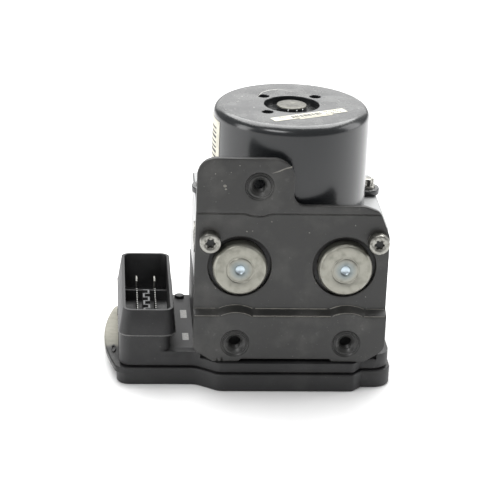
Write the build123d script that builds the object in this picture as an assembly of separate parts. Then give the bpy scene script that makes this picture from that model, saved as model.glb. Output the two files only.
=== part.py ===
"""ABS brake module: pump motor, valve block, bracket and control unit.

Millimetres, +Z up.  The origin is where the motor axis meets the underside of the control unit.
+X points away from the connector, +Y away from the bracket.
"""
from build123d import *
from math import cos, pi, radians, sin
import os

# ---------------------------------------------------------------- driving dimensions
running_clearance = 0.05      # radial, every turning or sliding fit
seat_gap = 0.3                # a loose piece at rest and its seat
sheet_gap = 1.3               # bracket sheet and the motor behind it

# valve block
block_width = 97.4
block_depth = 83.6
block_front = -42.3
block_bottom = 43.5
block_height = 44.5
block_edge = 0.8

# pump motor
can_diameter = 81.6
can_height = 52.6
can_wall = 1.8
can_shoulder = 5.0
can_recess_radius = 14.4
can_recess_depth = 4.5
can_boss_radius = 8.0
vent_hole_diameter = 5.8
vent_hole_circle = 19.3
vent_hole_angles = (45, 135, 225)
ear_radius = 6.6
ear_thickness = 3.0
ear_edge = 4.9                # from the block's side to the ear screw's axis
ear_offset_y = 12.0
ear_hole_margin = 0.3
ear_screw_flange_radius = 4.4
ear_screw_flange_height = 1.2
ear_screw_head_radius = 3.1
ear_screw_head_height = 5.0
ear_screw_lobe_radius = 0.85
ear_screw_lobe_circle = 2.9
shaft_diameter = 8.0
core_radius = 30.0
core_length = 18.0
core_stand_off = 3.5          # from the commutator to the stack
core_slots = 12
core_slot_width = 2.6
core_slot_depth = 13.0
core_slot_mouth = 1.4
core_tooth_tip = 2.5
winding_overhang = 2.0        # end turns above and below the stack
winding_inset = 0.5
core_air_gap = 0.6
magnet_count = 4
magnet_arc = 74.0
magnet_length = 24.0
commutator_radius = 10.5
commutator_length = 9.5
commutator_bars = 24
commutator_gap = 1.5          # from the bearing to the commutator
commutator_slit_depth = 1.2
commutator_slit_width = 0.4
bearing_outer_radius = 11.0
bearing_height = 7.0
outer_race_wall = 1.9
inner_race_wall = 1.6
bearing_seat_wall = 3.0
bearing_ball_count = 7
end_plate_thickness = 3.0
bush_length = 6.0
shaft_end_gap = 1.0
brush_holder_gap = 3.0        # from the holder's rim to the can
brush_holder_floor = 2.0
brush_pocket_wall = 1.5
brush_pocket_gap = 8.0        # from the pocket's end to the can
brush_spring_radius = 2.1
brush_spring_wire = 0.35
brush_width = 7.0
brush_height = 6.0
brush_length = 12.0
contact_radius = 1.6
contact_hole_radius = 2.2
contact_x = 23.0
contact_y = 11.0
seal_height = 5.0

# pump
pump_axis_z = 66.0
eccentric_offset = 1.2
eccentric_journal_radius = 5.7
eccentric_ring_radius = 9.0
eccentric_ring_length = 12.0
chamber_radius = 13.0
chamber_floor_z = 56.0
pump_piston_radius = 4.0
pump_piston_length = 22.0
pump_stroke = 2 * eccentric_offset
pump_sleeve_radius = 7.0
pump_spring_length = 9.6
pump_plug_radius = 8.4
pump_plug_length = 6.0
pump_plug_standout = 0.6
pump_plug_drive_radius = 4.0
pump_plug_drive_depth = 1.5
pump_spring_wire = 0.5
pump_sleeve_gap = 1.0

# accumulators
accumulator_spacing = 54.1
accumulator_centre_x = -0.5
accumulator_z = 67.3
accumulator_bore_radius = 12.0
accumulator_bore_depth = 28.0
accumulator_travel = 8.0
accumulator_piston_length = 12.0
cap_radius = 14.0
cap_face_radius = 13.0
cap_seat_depth = 5.0
cap_standout = 7.9
cap_floor = 3.6
cap_wall = 3.0
cap_bevel = 1.6
piston_wall = 2.6
piston_floor = 4.0
seal_groove_width = 2.4
seal_groove_depth = 1.8
seal_groove_edge = 1.0
seal_wire = 0.85
accumulator_spring_radius = 7.6
accumulator_spring_wire = 0.9

# solenoid valves
valve_columns = (-34.0, -12.0, 12.0, 34.0)
valve_rows = (0.0, 22.0)
valve_seat_radius = 5.0
valve_seat_depth = 9.0
valve_stem_radius = 3.2
valve_stem_length = 18.0
coil_radius = 8.2
coil_height = 17.0
coil_flange = 1.5
coil_core_wall = 1.0
valve_collar = 1.2
valve_collar_height = 1.0
valve_tip_round = 1.5

# brake-line ports in the rear face
port_depth = 15.0
wheel_port_radius = 4.5
wheel_port_columns = (-34.0, -12.0, 12.0, 34.0)
wheel_port_z = 76.5
master_port_radius = 5.5
master_port_spacing = 44.0
master_port_z = 59.5
port_seat_radius = 8.4
port_seat_depth = 0.8

# bracket
sheet = 3.0
bracket_left_overhang = 2.05  # beyond the block's side
bracket_right_overhang = 0.55
bracket_bottom = 16.0
bracket_top = 101.2
tab_top = 126.3
tab_right = -1.3
upper_step = 1.5              # the tab stands this far in front of the main panel
upper_step_z = 95.6
upper_step_height = 1.6
lower_step = 5.0              # the foot panel stands this far in front of the main panel
lower_step_z = 41.7
lower_step_height = 2.5
notch_left = -27.0
notch_right = 22.0
notch_height = 1.5
foot_corner_x = 10.5          # slanted lower corners of the foot panel
foot_corner_z = 6.9
shoulder_x = 5.65             # cut upper right corner
shoulder_z = 3.2
shoulder_run = 13.75
shoulder_drop = 17.2
foot_side_round = 6.0
foot_corner_round = 4.0
shoulder_foot_round = 12.0
shoulder_round = 6.0
shoulder_top_round = 8.0
tab_inner_round = 6.0
tab_right_round = 11.0
tab_left_round = 9.5
cap_hole_radius = 16.4
tab_nut_x = -19.0
tab_nut_z = 111.5
foot_nut_spacing = 57.8
foot_nut_z = 26.4
nut_pad_radius = 17.3
nut_shank_radius = 7.2
nut_flange_radius = 8.6
nut_flange_thickness = 3.6
nut_bore_radius = 3.4
nut_mouth_radius = 5.4
nut_mouth_depth = 1.4
bracket_screw_edge = 5.5      # from the block's side to the screw's axis
bracket_screw_z = 81.8
screw_head_radius = 5.4
screw_head_height = 5.8
screw_shank_radius = 3.0
screw_grip = 12.0
screw_head_round = 0.6
drive_lobe_radius = 0.7
drive_radius = 2.7
drive_depth = 2.6

# control unit
unit_top = 18.5
lobe_top = 15.6
cover_height = 9.5
seam_gap = 1.3                # shadow groove between cover and housing
seam_inset = 1.4
unit_wall = 2.4
housing_inset = 1.2           # the housing stands this far inside the cover's outline
coil_box_overhang = 0.4       # the coil box stands this far outside the block's sides
coil_box_corner = 4.0
coil_box_nut_gap = 5.2        # from the foot nuts' flanges to the coil box
coil_box_roof = 2.6
unit_left = -89.6
unit_right_ledge = 5.5        # beyond the block's side
unit_front_y = -44.7
unit_lobe_y = -53.0
unit_right_y = -47.4
unit_back_y = 43.6
unit_notch_y = 33.8
unit_bow = 6.5                # bulge of the cover's rim beyond its left side
rim_thickness = 3.0
lobe_left_start = -49.0
lobe_left = -37.0
lobe_right_edge = 15.7         # from the unit's right side to the end of the front lobe
lobe_right_slope = 5.0
lobe_round = 9.0
lobe_left_round = 7.0
lobe_right_round = 3.0
unit_notch_corner = 5.0
unit_notch_round = 2.0
ledge_left = -46.5
ledge_right = 46.0
ledge_margin = 1.2
unit_back_left = -49.5
connector_margin = 0.8
cover_floor = 2.0
cover_edge = 0.8
cover_rim_edge = 0.5
gasket_inset = 2.8
gasket_width = 1.4
gasket_height = 0.6
unit_corner = 6.0
housing_screw_edge = 8.0      # from the block's side to the screw's axis
housing_screw_boss_radius = 4.2
housing_screw_rows = (-13.0, 33.0)
housing_screw_radius = 2.0
housing_screw_head_radius = 3.6
housing_screw_head_height = 3.0
housing_screw_engagement = 8.0
vent_radius = 2.6
vent_height = 1.4
vent_y = 29.4
vent_round = 0.5

# connector
socket_left = -86.9
socket_right = -60.6
socket_front = -41.4
socket_back = 38.7
socket_top = 41.0
socket_wall = 1.5
socket_corner = 5.0
socket_floor = 21.0
lip_bottom = 27.5             # the shroud flares down to a lip at this height
lip_left = 2.0
lip_right = 1.4
lip_front = 2.6
lip_back = 1.5
pedestal_inset = 1.2          # right and back of the shroud's foot
pin_spacing_x = 9.8
pin_pitch = 2.54
pins_per_column = 17
first_pin_y = -27.0
pin_width = 0.64
pin_tip_z = 30.0
blade_width = 6.0
blade_thickness = 0.8
blade_y = (25.0, -34.8)
partition_y = (19.0, -30.4)
key_step = 1.3
key_tooth = 5.0
key_teeth = 8
key_wall = 1.2
key_top = 31.0

board_thickness = 1.6
board_lift = 1.6
board_gap = 0.9
label_thickness = 0.2
label_glue = 0.02
top_label_length = 43.0
top_label_width = 6.6
top_label_x = 7.4
top_label_y = -18.4
top_label_turn = 25.0
top_label_corner = 0.6
side_label_height = 36.0
side_label_drop = 6.0
side_label_start = 128.0
side_label_sweep = 73.0

# ---------------------------------------------------------------- derived places
block_top = block_bottom + block_height
block_back = block_front + block_depth
can_radius = can_diameter / 2
can_inner = can_radius - can_wall
can_top = block_top + can_height
panel_front = block_front - sheet
block_side = block_width / 2
bracket_left = -block_side - bracket_left_overhang
bracket_right = block_side + bracket_right_overhang
bracket_screw_x = block_side - bracket_screw_edge
ear_offset_x = block_side - ear_edge
shaft_radius = shaft_diameter / 2
bearing_top = block_top + bearing_height
commutator_bottom = bearing_top + commutator_gap
core_bottom = commutator_bottom + commutator_length + core_stand_off
core_top = core_bottom + core_length
magnet_bottom = core_bottom + core_length / 2 - magnet_length / 2
boss_roof = can_top - can_wall
socket_x = (socket_left + socket_right) / 2
coil_box_front = panel_front - lower_step + sheet + nut_flange_thickness + coil_box_nut_gap
coil_top = block_bottom - coil_box_roof
housing_bottom = cover_height
board_bottom = cover_height + board_lift
unit_right = block_side + unit_right_ledge
lobe_right_end = unit_right - lobe_right_edge
lobe_right = lobe_right_end - lobe_right_slope
housing_screw_x = block_side - housing_screw_edge


# ---------------------------------------------------------------- shape helpers
def upright(radius, height, x=0.0, y=0.0, z=0.0):
    """A cylinder standing on z."""
    return Pos(x, y, z + height / 2) * Cylinder(radius, height)


def along_y(radius, length, x, y, z):
    """A cylinder from y to y + length."""
    return Pos(x, y + length / 2, z) * Rot(90, 0, 0) * Cylinder(radius, length)


def along_x(radius, length, x, y, z):
    """A cylinder from x to x + length."""
    return Pos(x + length / 2, y, z) * Rot(0, 90, 0) * Cylinder(radius, length)


def slab(x0, x1, y0, y1, z0, z1):
    """A box between two corners."""
    return Pos((x0 + x1) / 2, (y0 + y1) / 2, (z0 + z1) / 2) * Box(x1 - x0, y1 - y0, z1 - z0)


def rounded_slab(x0, x1, y0, y1, z0, z1, radius):
    """A box with rounded upright corners."""
    sketch = Pos((x0 + x1) / 2, (y0 + y1) / 2) * RectangleRounded(x1 - x0, y1 - y0, radius)
    return Pos(0, 0, z0) * extrude(sketch, z1 - z0)


def spring(mean_radius, wire_radius, length, turns):
    """A compression spring standing on z = 0, `length` tall over its wire."""
    rise = length - 2 * wire_radius
    path = Pos(0, 0, wire_radius) * Helix(rise / turns, rise, mean_radius)
    section = Plane(origin=path @ 0, z_dir=path % 0) * Circle(wire_radius)
    return sweep(section, path=path)


def group(pieces):
    """Separate solids kept together as one node."""
    return Compound(children=[solid for piece in pieces for solid in piece.solids()])


def accumulator_x(side):
    """Axis of the left (-1) or right (1) accumulator."""
    return accumulator_centre_x + side * accumulator_spacing / 2


# ---------------------------------------------------------------- motor
def motor_can():
    """Deep-drawn can with a rolled shoulder, a ring recess round the bearing boss and two ears."""
    body = upright(can_radius, can_height, z=block_top)
    body = fillet(body.edges().filter_by(GeomType.CIRCLE).sort_by(Axis.Z)[-1], can_shoulder)
    for side in (-1, 1):
        body += upright(ear_radius, ear_thickness, side * ear_offset_x, ear_offset_y, block_top)
        body += slab(
            min(0, side * ear_offset_x), max(0, side * ear_offset_x),
            ear_offset_y - ear_radius, ear_offset_y + ear_radius, block_top, block_top + ear_thickness,
        )
    hollow = upright(can_inner, can_height - can_wall, z=block_top)
    hollow = fillet(
        hollow.edges().filter_by(GeomType.CIRCLE).sort_by(Axis.Z)[-1], can_shoulder - can_wall
    )
    pocket_floor = can_top - can_recess_depth
    hollow -= upright(can_recess_radius + can_wall, can_height, z=pocket_floor - can_wall) - upright(
        can_boss_radius - can_wall, 2 * can_height, z=block_top
    )
    body -= hollow
    ring = upright(can_recess_radius, can_recess_depth, z=pocket_floor)
    body -= ring - upright(can_boss_radius, can_recess_depth, z=pocket_floor)
    for angle in vent_hole_angles:
        x, y = vent_hole_circle * cos(radians(angle)), vent_hole_circle * sin(radians(angle))
        body -= upright(vent_hole_diameter / 2, 4 * can_wall, x, y, can_top - 2 * can_wall)
    for side in (-1, 1):
        body -= upright(
            screw_shank_radius + ear_hole_margin, 3 * ear_thickness, side * ear_offset_x, ear_offset_y,
            block_top - ear_thickness,
        )
    return body


def motor_screws():
    """Two flanged screws with six-lobed outer drive, through the ears into the block."""
    seat = block_top + ear_thickness
    pieces = []
    for side in (-1, 1):
        length = screw_grip + ear_thickness
        screw = upright(screw_shank_radius, length, z=seat - length)
        screw += upright(ear_screw_flange_radius, ear_screw_flange_height, z=seat)
        head = upright(ear_screw_head_radius, ear_screw_head_height, z=seat)
        for lobe in range(6):
            angle = radians(60 * lobe)
            x, y = ear_screw_lobe_circle * cos(angle), ear_screw_lobe_circle * sin(angle)
            head += upright(ear_screw_lobe_radius, ear_screw_head_height, x, y, seat)
        pieces.append(Pos(side * ear_offset_x, ear_offset_y, 0) * (screw + head))
    return group(pieces)


def motor_end_plate():
    """Die-cast plate that closes the can and carries the ball bearing."""
    plate = upright(can_inner - running_clearance, end_plate_thickness, z=block_top)
    plate += upright(bearing_outer_radius + bearing_seat_wall, bearing_height, z=block_top)
    plate -= upright(bearing_outer_radius, bearing_height, z=block_top)
    for side in (-1, 1):
        plate -= upright(
            contact_hole_radius, 3 * end_plate_thickness, side * contact_x, contact_y,
            block_top - end_plate_thickness,
        )
    return plate


def bearing_outer_race():
    ring = upright(bearing_outer_radius, bearing_height, z=block_top)
    ring -= upright(bearing_outer_radius - outer_race_wall, bearing_height, z=block_top)
    return ring


def bearing_inner_race():
    ring = upright(shaft_radius + inner_race_wall, bearing_height, z=block_top)
    ring -= upright(shaft_radius, bearing_height, z=block_top)
    return ring


def bearing_balls():
    """Balls between the races, with running clearance on both."""
    outer = bearing_outer_radius - outer_race_wall
    inner = shaft_radius + inner_race_wall
    circle = (outer + inner) / 2
    radius = (outer - inner) / 2 - running_clearance
    pieces = []
    for ball in range(bearing_ball_count):
        angle = 2 * pi * ball / bearing_ball_count
        pieces.append(
            Pos(circle * cos(angle), circle * sin(angle), block_top + bearing_height / 2) * Sphere(radius)
        )
    return group(pieces)


def motor_shaft():
    """Shaft with the eccentric journal that drives the pump pistons."""
    top = boss_roof - shaft_end_gap
    bottom = pump_axis_z + eccentric_ring_length / 2 + shaft_end_gap
    shaft = upright(shaft_radius, top - bottom, z=bottom)
    length = eccentric_ring_length + shaft_end_gap
    shaft += upright(
        eccentric_journal_radius, length, 0, -eccentric_offset, pump_axis_z - eccentric_ring_length / 2
    )
    return shaft


def eccentric_ring():
    """Needle-bearing ring on the eccentric journal."""
    z = pump_axis_z - eccentric_ring_length / 2
    ring = upright(eccentric_ring_radius, eccentric_ring_length, 0, -eccentric_offset, z)
    return ring - upright(eccentric_journal_radius, eccentric_ring_length, 0, -eccentric_offset, z)


def top_bush():
    """Sintered bush pressed into the can's boss."""
    radius = can_boss_radius - can_wall
    bush = upright(radius, bush_length, z=boss_roof - bush_length)
    return bush - upright(shaft_radius + running_clearance, bush_length, z=boss_roof - bush_length)


def armature_core():
    """Laminated stack with winding slots."""
    core = upright(core_radius, core_length, z=core_bottom)
    half = core_slot_mouth / 2
    mouth = slab(core_radius - core_slot_depth, core_radius + 1, -half, half, core_bottom, core_top)
    slot = rounded_slab(
        core_radius - core_slot_depth, core_radius - core_tooth_tip, -core_slot_width, core_slot_width,
        core_bottom, core_top, core_slot_width * 0.9,
    )
    for index in range(core_slots):
        core -= Rot(0, 0, 360 * index / core_slots) * (slot + mouth)
    return core - upright(shaft_radius, core_length, z=core_bottom)


def armature_windings():
    """Copper end turns above and below the stack, joined through every slot."""
    inner = core_radius - core_slot_depth + 2 * winding_inset
    outer = core_radius - core_tooth_tip - winding_overhang
    height, bottom = core_length + 2 * winding_overhang, core_bottom - winding_overhang
    coil = upright(outer, height, z=bottom) - upright(inner, height, z=bottom)
    coil -= upright(core_radius, core_length, z=core_bottom)
    width = core_slot_width - winding_inset
    middle = winding_overhang / 2
    wire = rounded_slab(
        inner, outer, -width, width, core_bottom - middle, core_top + middle, width * 0.85
    )
    for index in range(core_slots):
        coil += Rot(0, 0, 360 * index / core_slots) * wire
    return coil


def commutator():
    """Copper bars on a moulded hub."""
    body = upright(commutator_radius, commutator_length, z=commutator_bottom)
    body -= upright(shaft_radius, commutator_length, z=commutator_bottom)
    for bar in range(commutator_bars):
        half = commutator_slit_width / 2
        cut = slab(commutator_radius - commutator_slit_depth, commutator_radius + 1, -half, half,
                   commutator_bottom, commutator_bottom + commutator_length)
        body -= Rot(0, 0, 360 * bar / commutator_bars) * cut
    return body


def motor_magnets():
    """Ferrite arcs glued inside the can."""
    ring = upright(can_inner, magnet_length, z=magnet_bottom)
    ring -= upright(core_radius + core_air_gap, magnet_length, z=magnet_bottom)
    reach = 2 * can_radius
    half = radians(magnet_arc / 2)
    wedge = extrude(
        make_face(Polyline((0, 0), (reach * cos(half), -reach * sin(half)),
                           (reach * cos(half), reach * sin(half)), close=True)),
        can_height,
    )
    pieces = []
    for pole in range(magnet_count):
        turn = Rot(0, 0, 45 + 360 * pole / magnet_count)
        pieces.append(ring & (Pos(0, 0, magnet_bottom) * turn * wedge))
    return group(pieces)


def brush_pocket_end():
    """Distance from the axis to the closed end of a brush pocket."""
    return can_inner - brush_pocket_gap - brush_pocket_wall


def brush_holder():
    """Moulded ring with two brush pockets round the commutator."""
    bottom = bearing_top
    floor = bottom + brush_holder_floor
    height = brush_holder_floor + brush_height + brush_pocket_wall / 2
    ring = upright(can_inner - brush_holder_gap, brush_holder_floor, z=bottom)
    ring -= upright(commutator_radius + brush_pocket_wall, brush_holder_floor, z=bottom)
    half = brush_width / 2 + brush_pocket_wall
    for side in (-1, 1):
        near, far = commutator_radius + brush_pocket_wall, can_inner - brush_pocket_gap
        box_x = sorted((side * near, side * far))
        ring += slab(*box_x, -half, half, bottom, bottom + height)
    for side in (-1, 1):
        inner_x = sorted((side * commutator_radius, side * brush_pocket_end()))
        ring -= slab(*inner_x, -brush_width / 2, brush_width / 2, floor, floor + brush_height)
    return ring


def brushes():
    """Two carbon brushes riding on the commutator."""
    pieces = []
    for side in (-1, 1):
        start = commutator_radius + running_clearance
        x0, x1 = sorted((side * start, side * (start + brush_length)))
        z = bearing_top + brush_holder_floor
        face = slab(x0, x1, -brush_width / 2, brush_width / 2, z, z + brush_height)
        pieces.append(face - upright(start, 2 * brush_height, z=z - 1))
    return group(pieces)


def brush_springs():
    """Coil springs that press the brushes home."""
    start = commutator_radius + running_clearance + brush_length
    length = brush_pocket_end() - start
    z = bearing_top + brush_holder_floor + brush_height / 2
    coil = spring(brush_spring_radius, brush_spring_wire, length, 3)
    return group([
        Pos(start, 0, z) * Rot(0, 90, 0) * coil,
        Pos(-start, 0, z) * Rot(0, -90, 0) * coil,
    ])


def shaft_seal():
    """Lip seal between the motor and the eccentric chamber."""
    z = block_top - seal_height
    return upright(chamber_radius, seal_height, z=z) - upright(
        shaft_radius + running_clearance, seal_height, z=z
    )


def motor_contacts():
    """Two contact rods from the brush holder through the block to the circuit board."""
    pieces = []
    for side in (-1, 1):
        bottom = board_bottom + board_thickness
        pieces.append(upright(contact_radius, bearing_top - bottom, side * contact_x, contact_y, bottom))
    return group(pieces)


# ---------------------------------------------------------------- valve block
def valve_block():
    """Extruded aluminium block, bored from five sides."""
    block = slab(-block_side, block_side, block_front, block_back, block_bottom, block_top)
    block = chamfer(block.edges(), block_edge)
    block -= upright(chamber_radius, block_top - chamber_floor_z, z=chamber_floor_z)
    reach = block_side
    block -= along_x(pump_sleeve_radius, 2 * reach, -reach, 0, pump_axis_z)
    for side in (-1, 1):
        x0 = min(side * (reach - pump_plug_length), side * reach)
        block -= along_x(pump_plug_radius, pump_plug_length, x0, 0, pump_axis_z)
        x = accumulator_x(side)
        block -= along_y(accumulator_bore_radius, accumulator_bore_depth, x, block_front, accumulator_z)
        block -= along_y(cap_radius, cap_seat_depth, x, block_front, accumulator_z)
        block -= along_y(
            screw_shank_radius, screw_grip, side * bracket_screw_x, block_front, bracket_screw_z
        )
        block -= upright(
            screw_shank_radius, screw_grip, side * ear_offset_x, ear_offset_y, block_top - screw_grip
        )
        block -= upright(contact_hole_radius, block_height, side * contact_x, contact_y, block_bottom)
        x = side * master_port_spacing / 2
        block -= along_y(master_port_radius, port_depth, x, block_back - port_depth, master_port_z)
        block -= along_y(port_seat_radius, port_seat_depth, x, block_back - port_seat_depth, master_port_z)
    for x in wheel_port_columns:
        block -= along_y(wheel_port_radius, port_depth, x, block_back - port_depth, wheel_port_z)
        block -= along_y(port_seat_radius, port_seat_depth, x, block_back - port_seat_depth, wheel_port_z)
    for x in valve_columns:
        for y in valve_rows:
            block -= upright(valve_seat_radius, valve_seat_depth, x, y, block_bottom)
    for x, y in housing_screw_places():
        block -= upright(housing_screw_radius, housing_screw_engagement + 1, x, y, block_bottom)
    return block


def valve_cartridges():
    """Solenoid valve cartridges staked into the underside of the block."""
    pieces = []
    for x in valve_columns:
        for y in valve_rows:
            body = upright(valve_seat_radius, valve_seat_depth, x, y, block_bottom)
            z = block_bottom - valve_collar_height
            body += upright(valve_seat_radius + valve_collar, valve_collar_height, x, y, z)
            stem = upright(valve_stem_radius, valve_stem_length, x, y, block_bottom - valve_stem_length)
            body += fillet(stem.edges().filter_by(GeomType.CIRCLE).sort_by(Axis.Z)[0], valve_tip_round)
            pieces.append(body)
    return group(pieces)


def valve_coils():
    """Solenoid coils that slip over the valve stems."""
    pieces = []
    for x in valve_columns:
        for y in valve_rows:
            z = coil_top - coil_height
            coil = upright(coil_radius, coil_height, x, y, z)
            coil -= upright(
                coil_radius + 1, coil_height - 2 * coil_flange, x, y, z + coil_flange
            ) - upright(coil_radius - coil_core_wall, coil_height, x, y, z)
            pieces.append(coil - upright(valve_stem_radius + running_clearance, coil_height, x, y, z))
    return group(pieces)


# ---------------------------------------------------------------- pump
def pump_piston(side):
    """Plunger parked just outside the eccentric's full turn."""
    start = eccentric_ring_radius + eccentric_offset + running_clearance
    x0 = min(side * start, side * (start + pump_piston_length))
    return along_x(pump_piston_radius, pump_piston_length, x0, 0, pump_axis_z)


def pump_sleeves():
    """Sleeves that guide the plungers."""
    pieces = []
    start = chamber_radius + pump_sleeve_gap
    end = block_side - pump_plug_length
    for side in (-1, 1):
        x0 = min(side * start, side * end)
        sleeve = along_x(pump_sleeve_radius, end - start, x0, 0, pump_axis_z)
        bore = pump_piston_radius + running_clearance
        pieces.append(sleeve - along_x(bore, end - start, x0, 0, pump_axis_z))
    return group(pieces)


def pump_spring(side):
    """Return spring behind the plunger."""
    start = eccentric_ring_radius + eccentric_offset + running_clearance + pump_piston_length
    length = block_side - pump_plug_length - start
    coil = spring(pump_piston_radius - 1.2, pump_spring_wire, length, 4)
    return Pos(side * start, 0, pump_axis_z) * Rot(0, side * 90, 0) * coil


def pump_plugs():
    """Plugs that close the pump bores at the block's sides."""
    pieces = []
    for side in (-1, 1):
        outer = block_side + pump_plug_standout
        inner = block_side - pump_plug_length
        x0 = min(side * inner, side * outer)
        plug = along_x(pump_plug_radius, outer - inner, x0, 0, pump_axis_z)
        face = side * (outer - pump_plug_drive_depth)
        plug -= along_x(
            pump_plug_drive_radius, pump_plug_drive_depth, min(face, side * outer), 0, pump_axis_z
        )
        pieces.append(plug)
    return group(pieces)


# ---------------------------------------------------------------- accumulators
def accumulator_cap(side):
    """Turned zinc-plated cap with a bevelled rim, a ring groove and a centre dimple."""
    x = accumulator_x(side)
    face = block_front - cap_standout
    length = cap_standout + cap_seat_depth
    profile = Polyline(
        (0, 1.2), (1.8, 0.9), (2.6, 0.0), (6.2, 0.0), (6.5, 0.35), (7.0, 0.35), (7.3, 0.0),
        (cap_face_radius - 0.4, 0.0), (cap_face_radius, 0.25), (cap_radius, cap_bevel), (cap_radius, length),
        (cap_radius - cap_wall, length), (cap_radius - cap_wall, cap_floor), (0, cap_floor), close=True,
    )
    turned = revolve(Plane.XY * make_face(profile), Axis.Y)
    return Pos(x, face, accumulator_z) * turned


def accumulator_piston(side):
    """Cup piston with a seal groove, resting near the bottom of its bore."""
    x = accumulator_x(side)
    end = block_front + accumulator_bore_depth - seat_gap
    start = end - accumulator_piston_length
    radius = accumulator_bore_radius - running_clearance
    piston = along_y(radius, accumulator_piston_length, x, start, accumulator_z)
    piston -= along_y(
        radius - piston_wall, accumulator_piston_length - piston_floor, x, start, accumulator_z
    )
    y = end - seal_groove_edge - seal_groove_width
    groove = along_y(radius, seal_groove_width, x, y, accumulator_z) - along_y(
        radius - seal_groove_depth, seal_groove_width, x, y, accumulator_z
    )
    return piston - groove


def piston_seal(side):
    """Rubber ring in the piston's groove."""
    x = accumulator_x(side)
    y = block_front + accumulator_bore_depth - seat_gap - seal_groove_edge - seal_groove_width / 2
    radius = accumulator_bore_radius - running_clearance - 2 * running_clearance - seal_wire
    return Pos(x, y, accumulator_z) * Rot(90, 0, 0) * Torus(radius, seal_wire)


def accumulator_spring(side):
    """Low-rate spring between cap and piston."""
    x = accumulator_x(side)
    start = block_front - cap_standout + cap_floor
    end = block_front + accumulator_bore_depth - seat_gap - piston_floor
    coil = spring(accumulator_spring_radius, accumulator_spring_wire, end - start, 5)
    return Pos(x, start, accumulator_z) * Rot(-90, 0, 0) * coil


# ---------------------------------------------------------------- bracket
def foot_nuts():
    """Centres of the two nuts in the foot panel, as (x, z)."""
    return [(side * foot_nut_spacing / 2, foot_nut_z) for side in (-1, 1)]


def bracket():
    """Stamped sheet: main panel, tab and foot panel on stepped planes, with flat pads round the nuts."""
    high, low, behind = tab_top + 10, bracket_bottom - 10, 20.0
    surface = Polyline(
        (-upper_step, high), (-upper_step, upper_step_z + upper_step_height), (0, upper_step_z),
        (0, lower_step_z + lower_step_height), (-lower_step, lower_step_z), (-lower_step, low),
        (behind, low), (behind, high), close=True,
    )
    width = 3 * (bracket_right - bracket_left)
    outer = extrude(Plane.YZ * make_face(surface), width / 2, both=True)
    for x, z in foot_nuts():
        outer += Pos(x, -lower_step / 2, z) * Rot(90, 0, 0) * Cone(
            nut_pad_radius + lower_step_height, nut_pad_radius, lower_step
        )
    outer += Pos(tab_nut_x, -upper_step / 2, tab_nut_z) * Rot(90, 0, 0) * Cone(
        nut_pad_radius, nut_pad_radius - upper_step_height, upper_step
    )
    blank = outer - Pos(0, sheet, 0) * outer
    foot_left, foot_right = bracket_left + foot_corner_x, bracket_right - foot_corner_x
    foot_side = bracket_bottom + foot_corner_z
    shoulder = (bracket_right - shoulder_x, bracket_top - shoulder_z)
    shoulder_top = (bracket_right - shoulder_run, bracket_top)
    shoulder_foot = (bracket_right, bracket_top - shoulder_drop)
    outline = Polyline(
        (bracket_left, foot_side), (foot_left, bracket_bottom), (notch_left, bracket_bottom),
        (notch_left + notch_height, bracket_bottom + notch_height),
        (notch_right - notch_height, bracket_bottom + notch_height), (notch_right, bracket_bottom),
        (foot_right, bracket_bottom), (bracket_right, foot_side), shoulder_foot, shoulder,
        shoulder_top, (tab_right, bracket_top), (tab_right, tab_top), (bracket_left, tab_top),
        close=True,
    )
    face = make_face(outline)
    rounds = {
        (bracket_left, foot_side): foot_side_round, (foot_left, bracket_bottom): foot_corner_round,
        (foot_right, bracket_bottom): foot_corner_round, (bracket_right, foot_side): foot_side_round,
        shoulder_foot: shoulder_foot_round, shoulder: shoulder_round, shoulder_top: shoulder_top_round,
        (tab_right, bracket_top): tab_inner_round, (tab_right, tab_top): tab_right_round,
        (bracket_left, tab_top): tab_left_round,
    }
    for (x, z), radius in rounds.items():
        corner = face.vertices().sort_by_distance((x, z, 0))[0]
        face = fillet(corner, radius)
    stamped = Pos(0, panel_front, 0) * (blank & extrude(Plane.XZ * face, 2 * behind, both=True))
    for side in (-1, 1):
        stamped -= along_y(
            cap_hole_radius, 3 * sheet, accumulator_x(side), panel_front - sheet, accumulator_z
        )
        stamped -= along_y(
            screw_shank_radius + seat_gap, 3 * sheet, side * bracket_screw_x, panel_front - sheet,
            bracket_screw_z,
        )
    for x, y, z in nut_places():
        stamped -= along_y(nut_shank_radius, 2 * sheet, x, y - sheet / 2, z)
    return stamped


def nut_places():
    """Front centres of the three clinch nuts."""
    places = [(x, panel_front - lower_step, z) for x, z in foot_nuts()]
    return places + [(tab_nut_x, panel_front - upper_step, tab_nut_z)]


def bracket_nuts():
    """Clinch nuts pressed into the bracket, flush with its front."""
    pieces = []
    for x, y, z in nut_places():
        nut = along_y(nut_shank_radius, sheet, x, y, z)
        nut += along_y(nut_flange_radius, nut_flange_thickness, x, y + sheet, z)
        nut -= along_y(nut_bore_radius, 3 * sheet, x, y, z)
        mouth = Pos(x, y + nut_mouth_depth / 2, z) * Rot(90, 0, 0) * Cone(
            nut_mouth_radius - nut_mouth_depth, nut_mouth_radius, nut_mouth_depth
        )
        pieces.append(nut - mouth)
    return group(pieces)


def bracket_screws():
    """Cylinder-head screws with six-lobed sockets."""
    pieces = []
    for side in (-1, 1):
        x = side * bracket_screw_x
        head = along_y(screw_head_radius, screw_head_height, x, panel_front - screw_head_height,
                       bracket_screw_z)
        head = fillet(head.edges().filter_by(GeomType.CIRCLE).sort_by(Axis.Y)[0], screw_head_round)
        screw = head + along_y(screw_shank_radius, sheet + screw_grip, x, panel_front, bracket_screw_z)
        face, circle = panel_front - screw_head_height, drive_radius - drive_lobe_radius
        socket = along_y(circle, drive_depth, x, face, bracket_screw_z)
        for lobe in range(6):
            angle = radians(60 * lobe)
            socket += along_y(
                drive_lobe_radius, drive_depth, x + circle * cos(angle), face,
                bracket_screw_z + circle * sin(angle),
            )
        pieces.append(screw - socket)
    return group(pieces)


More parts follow.
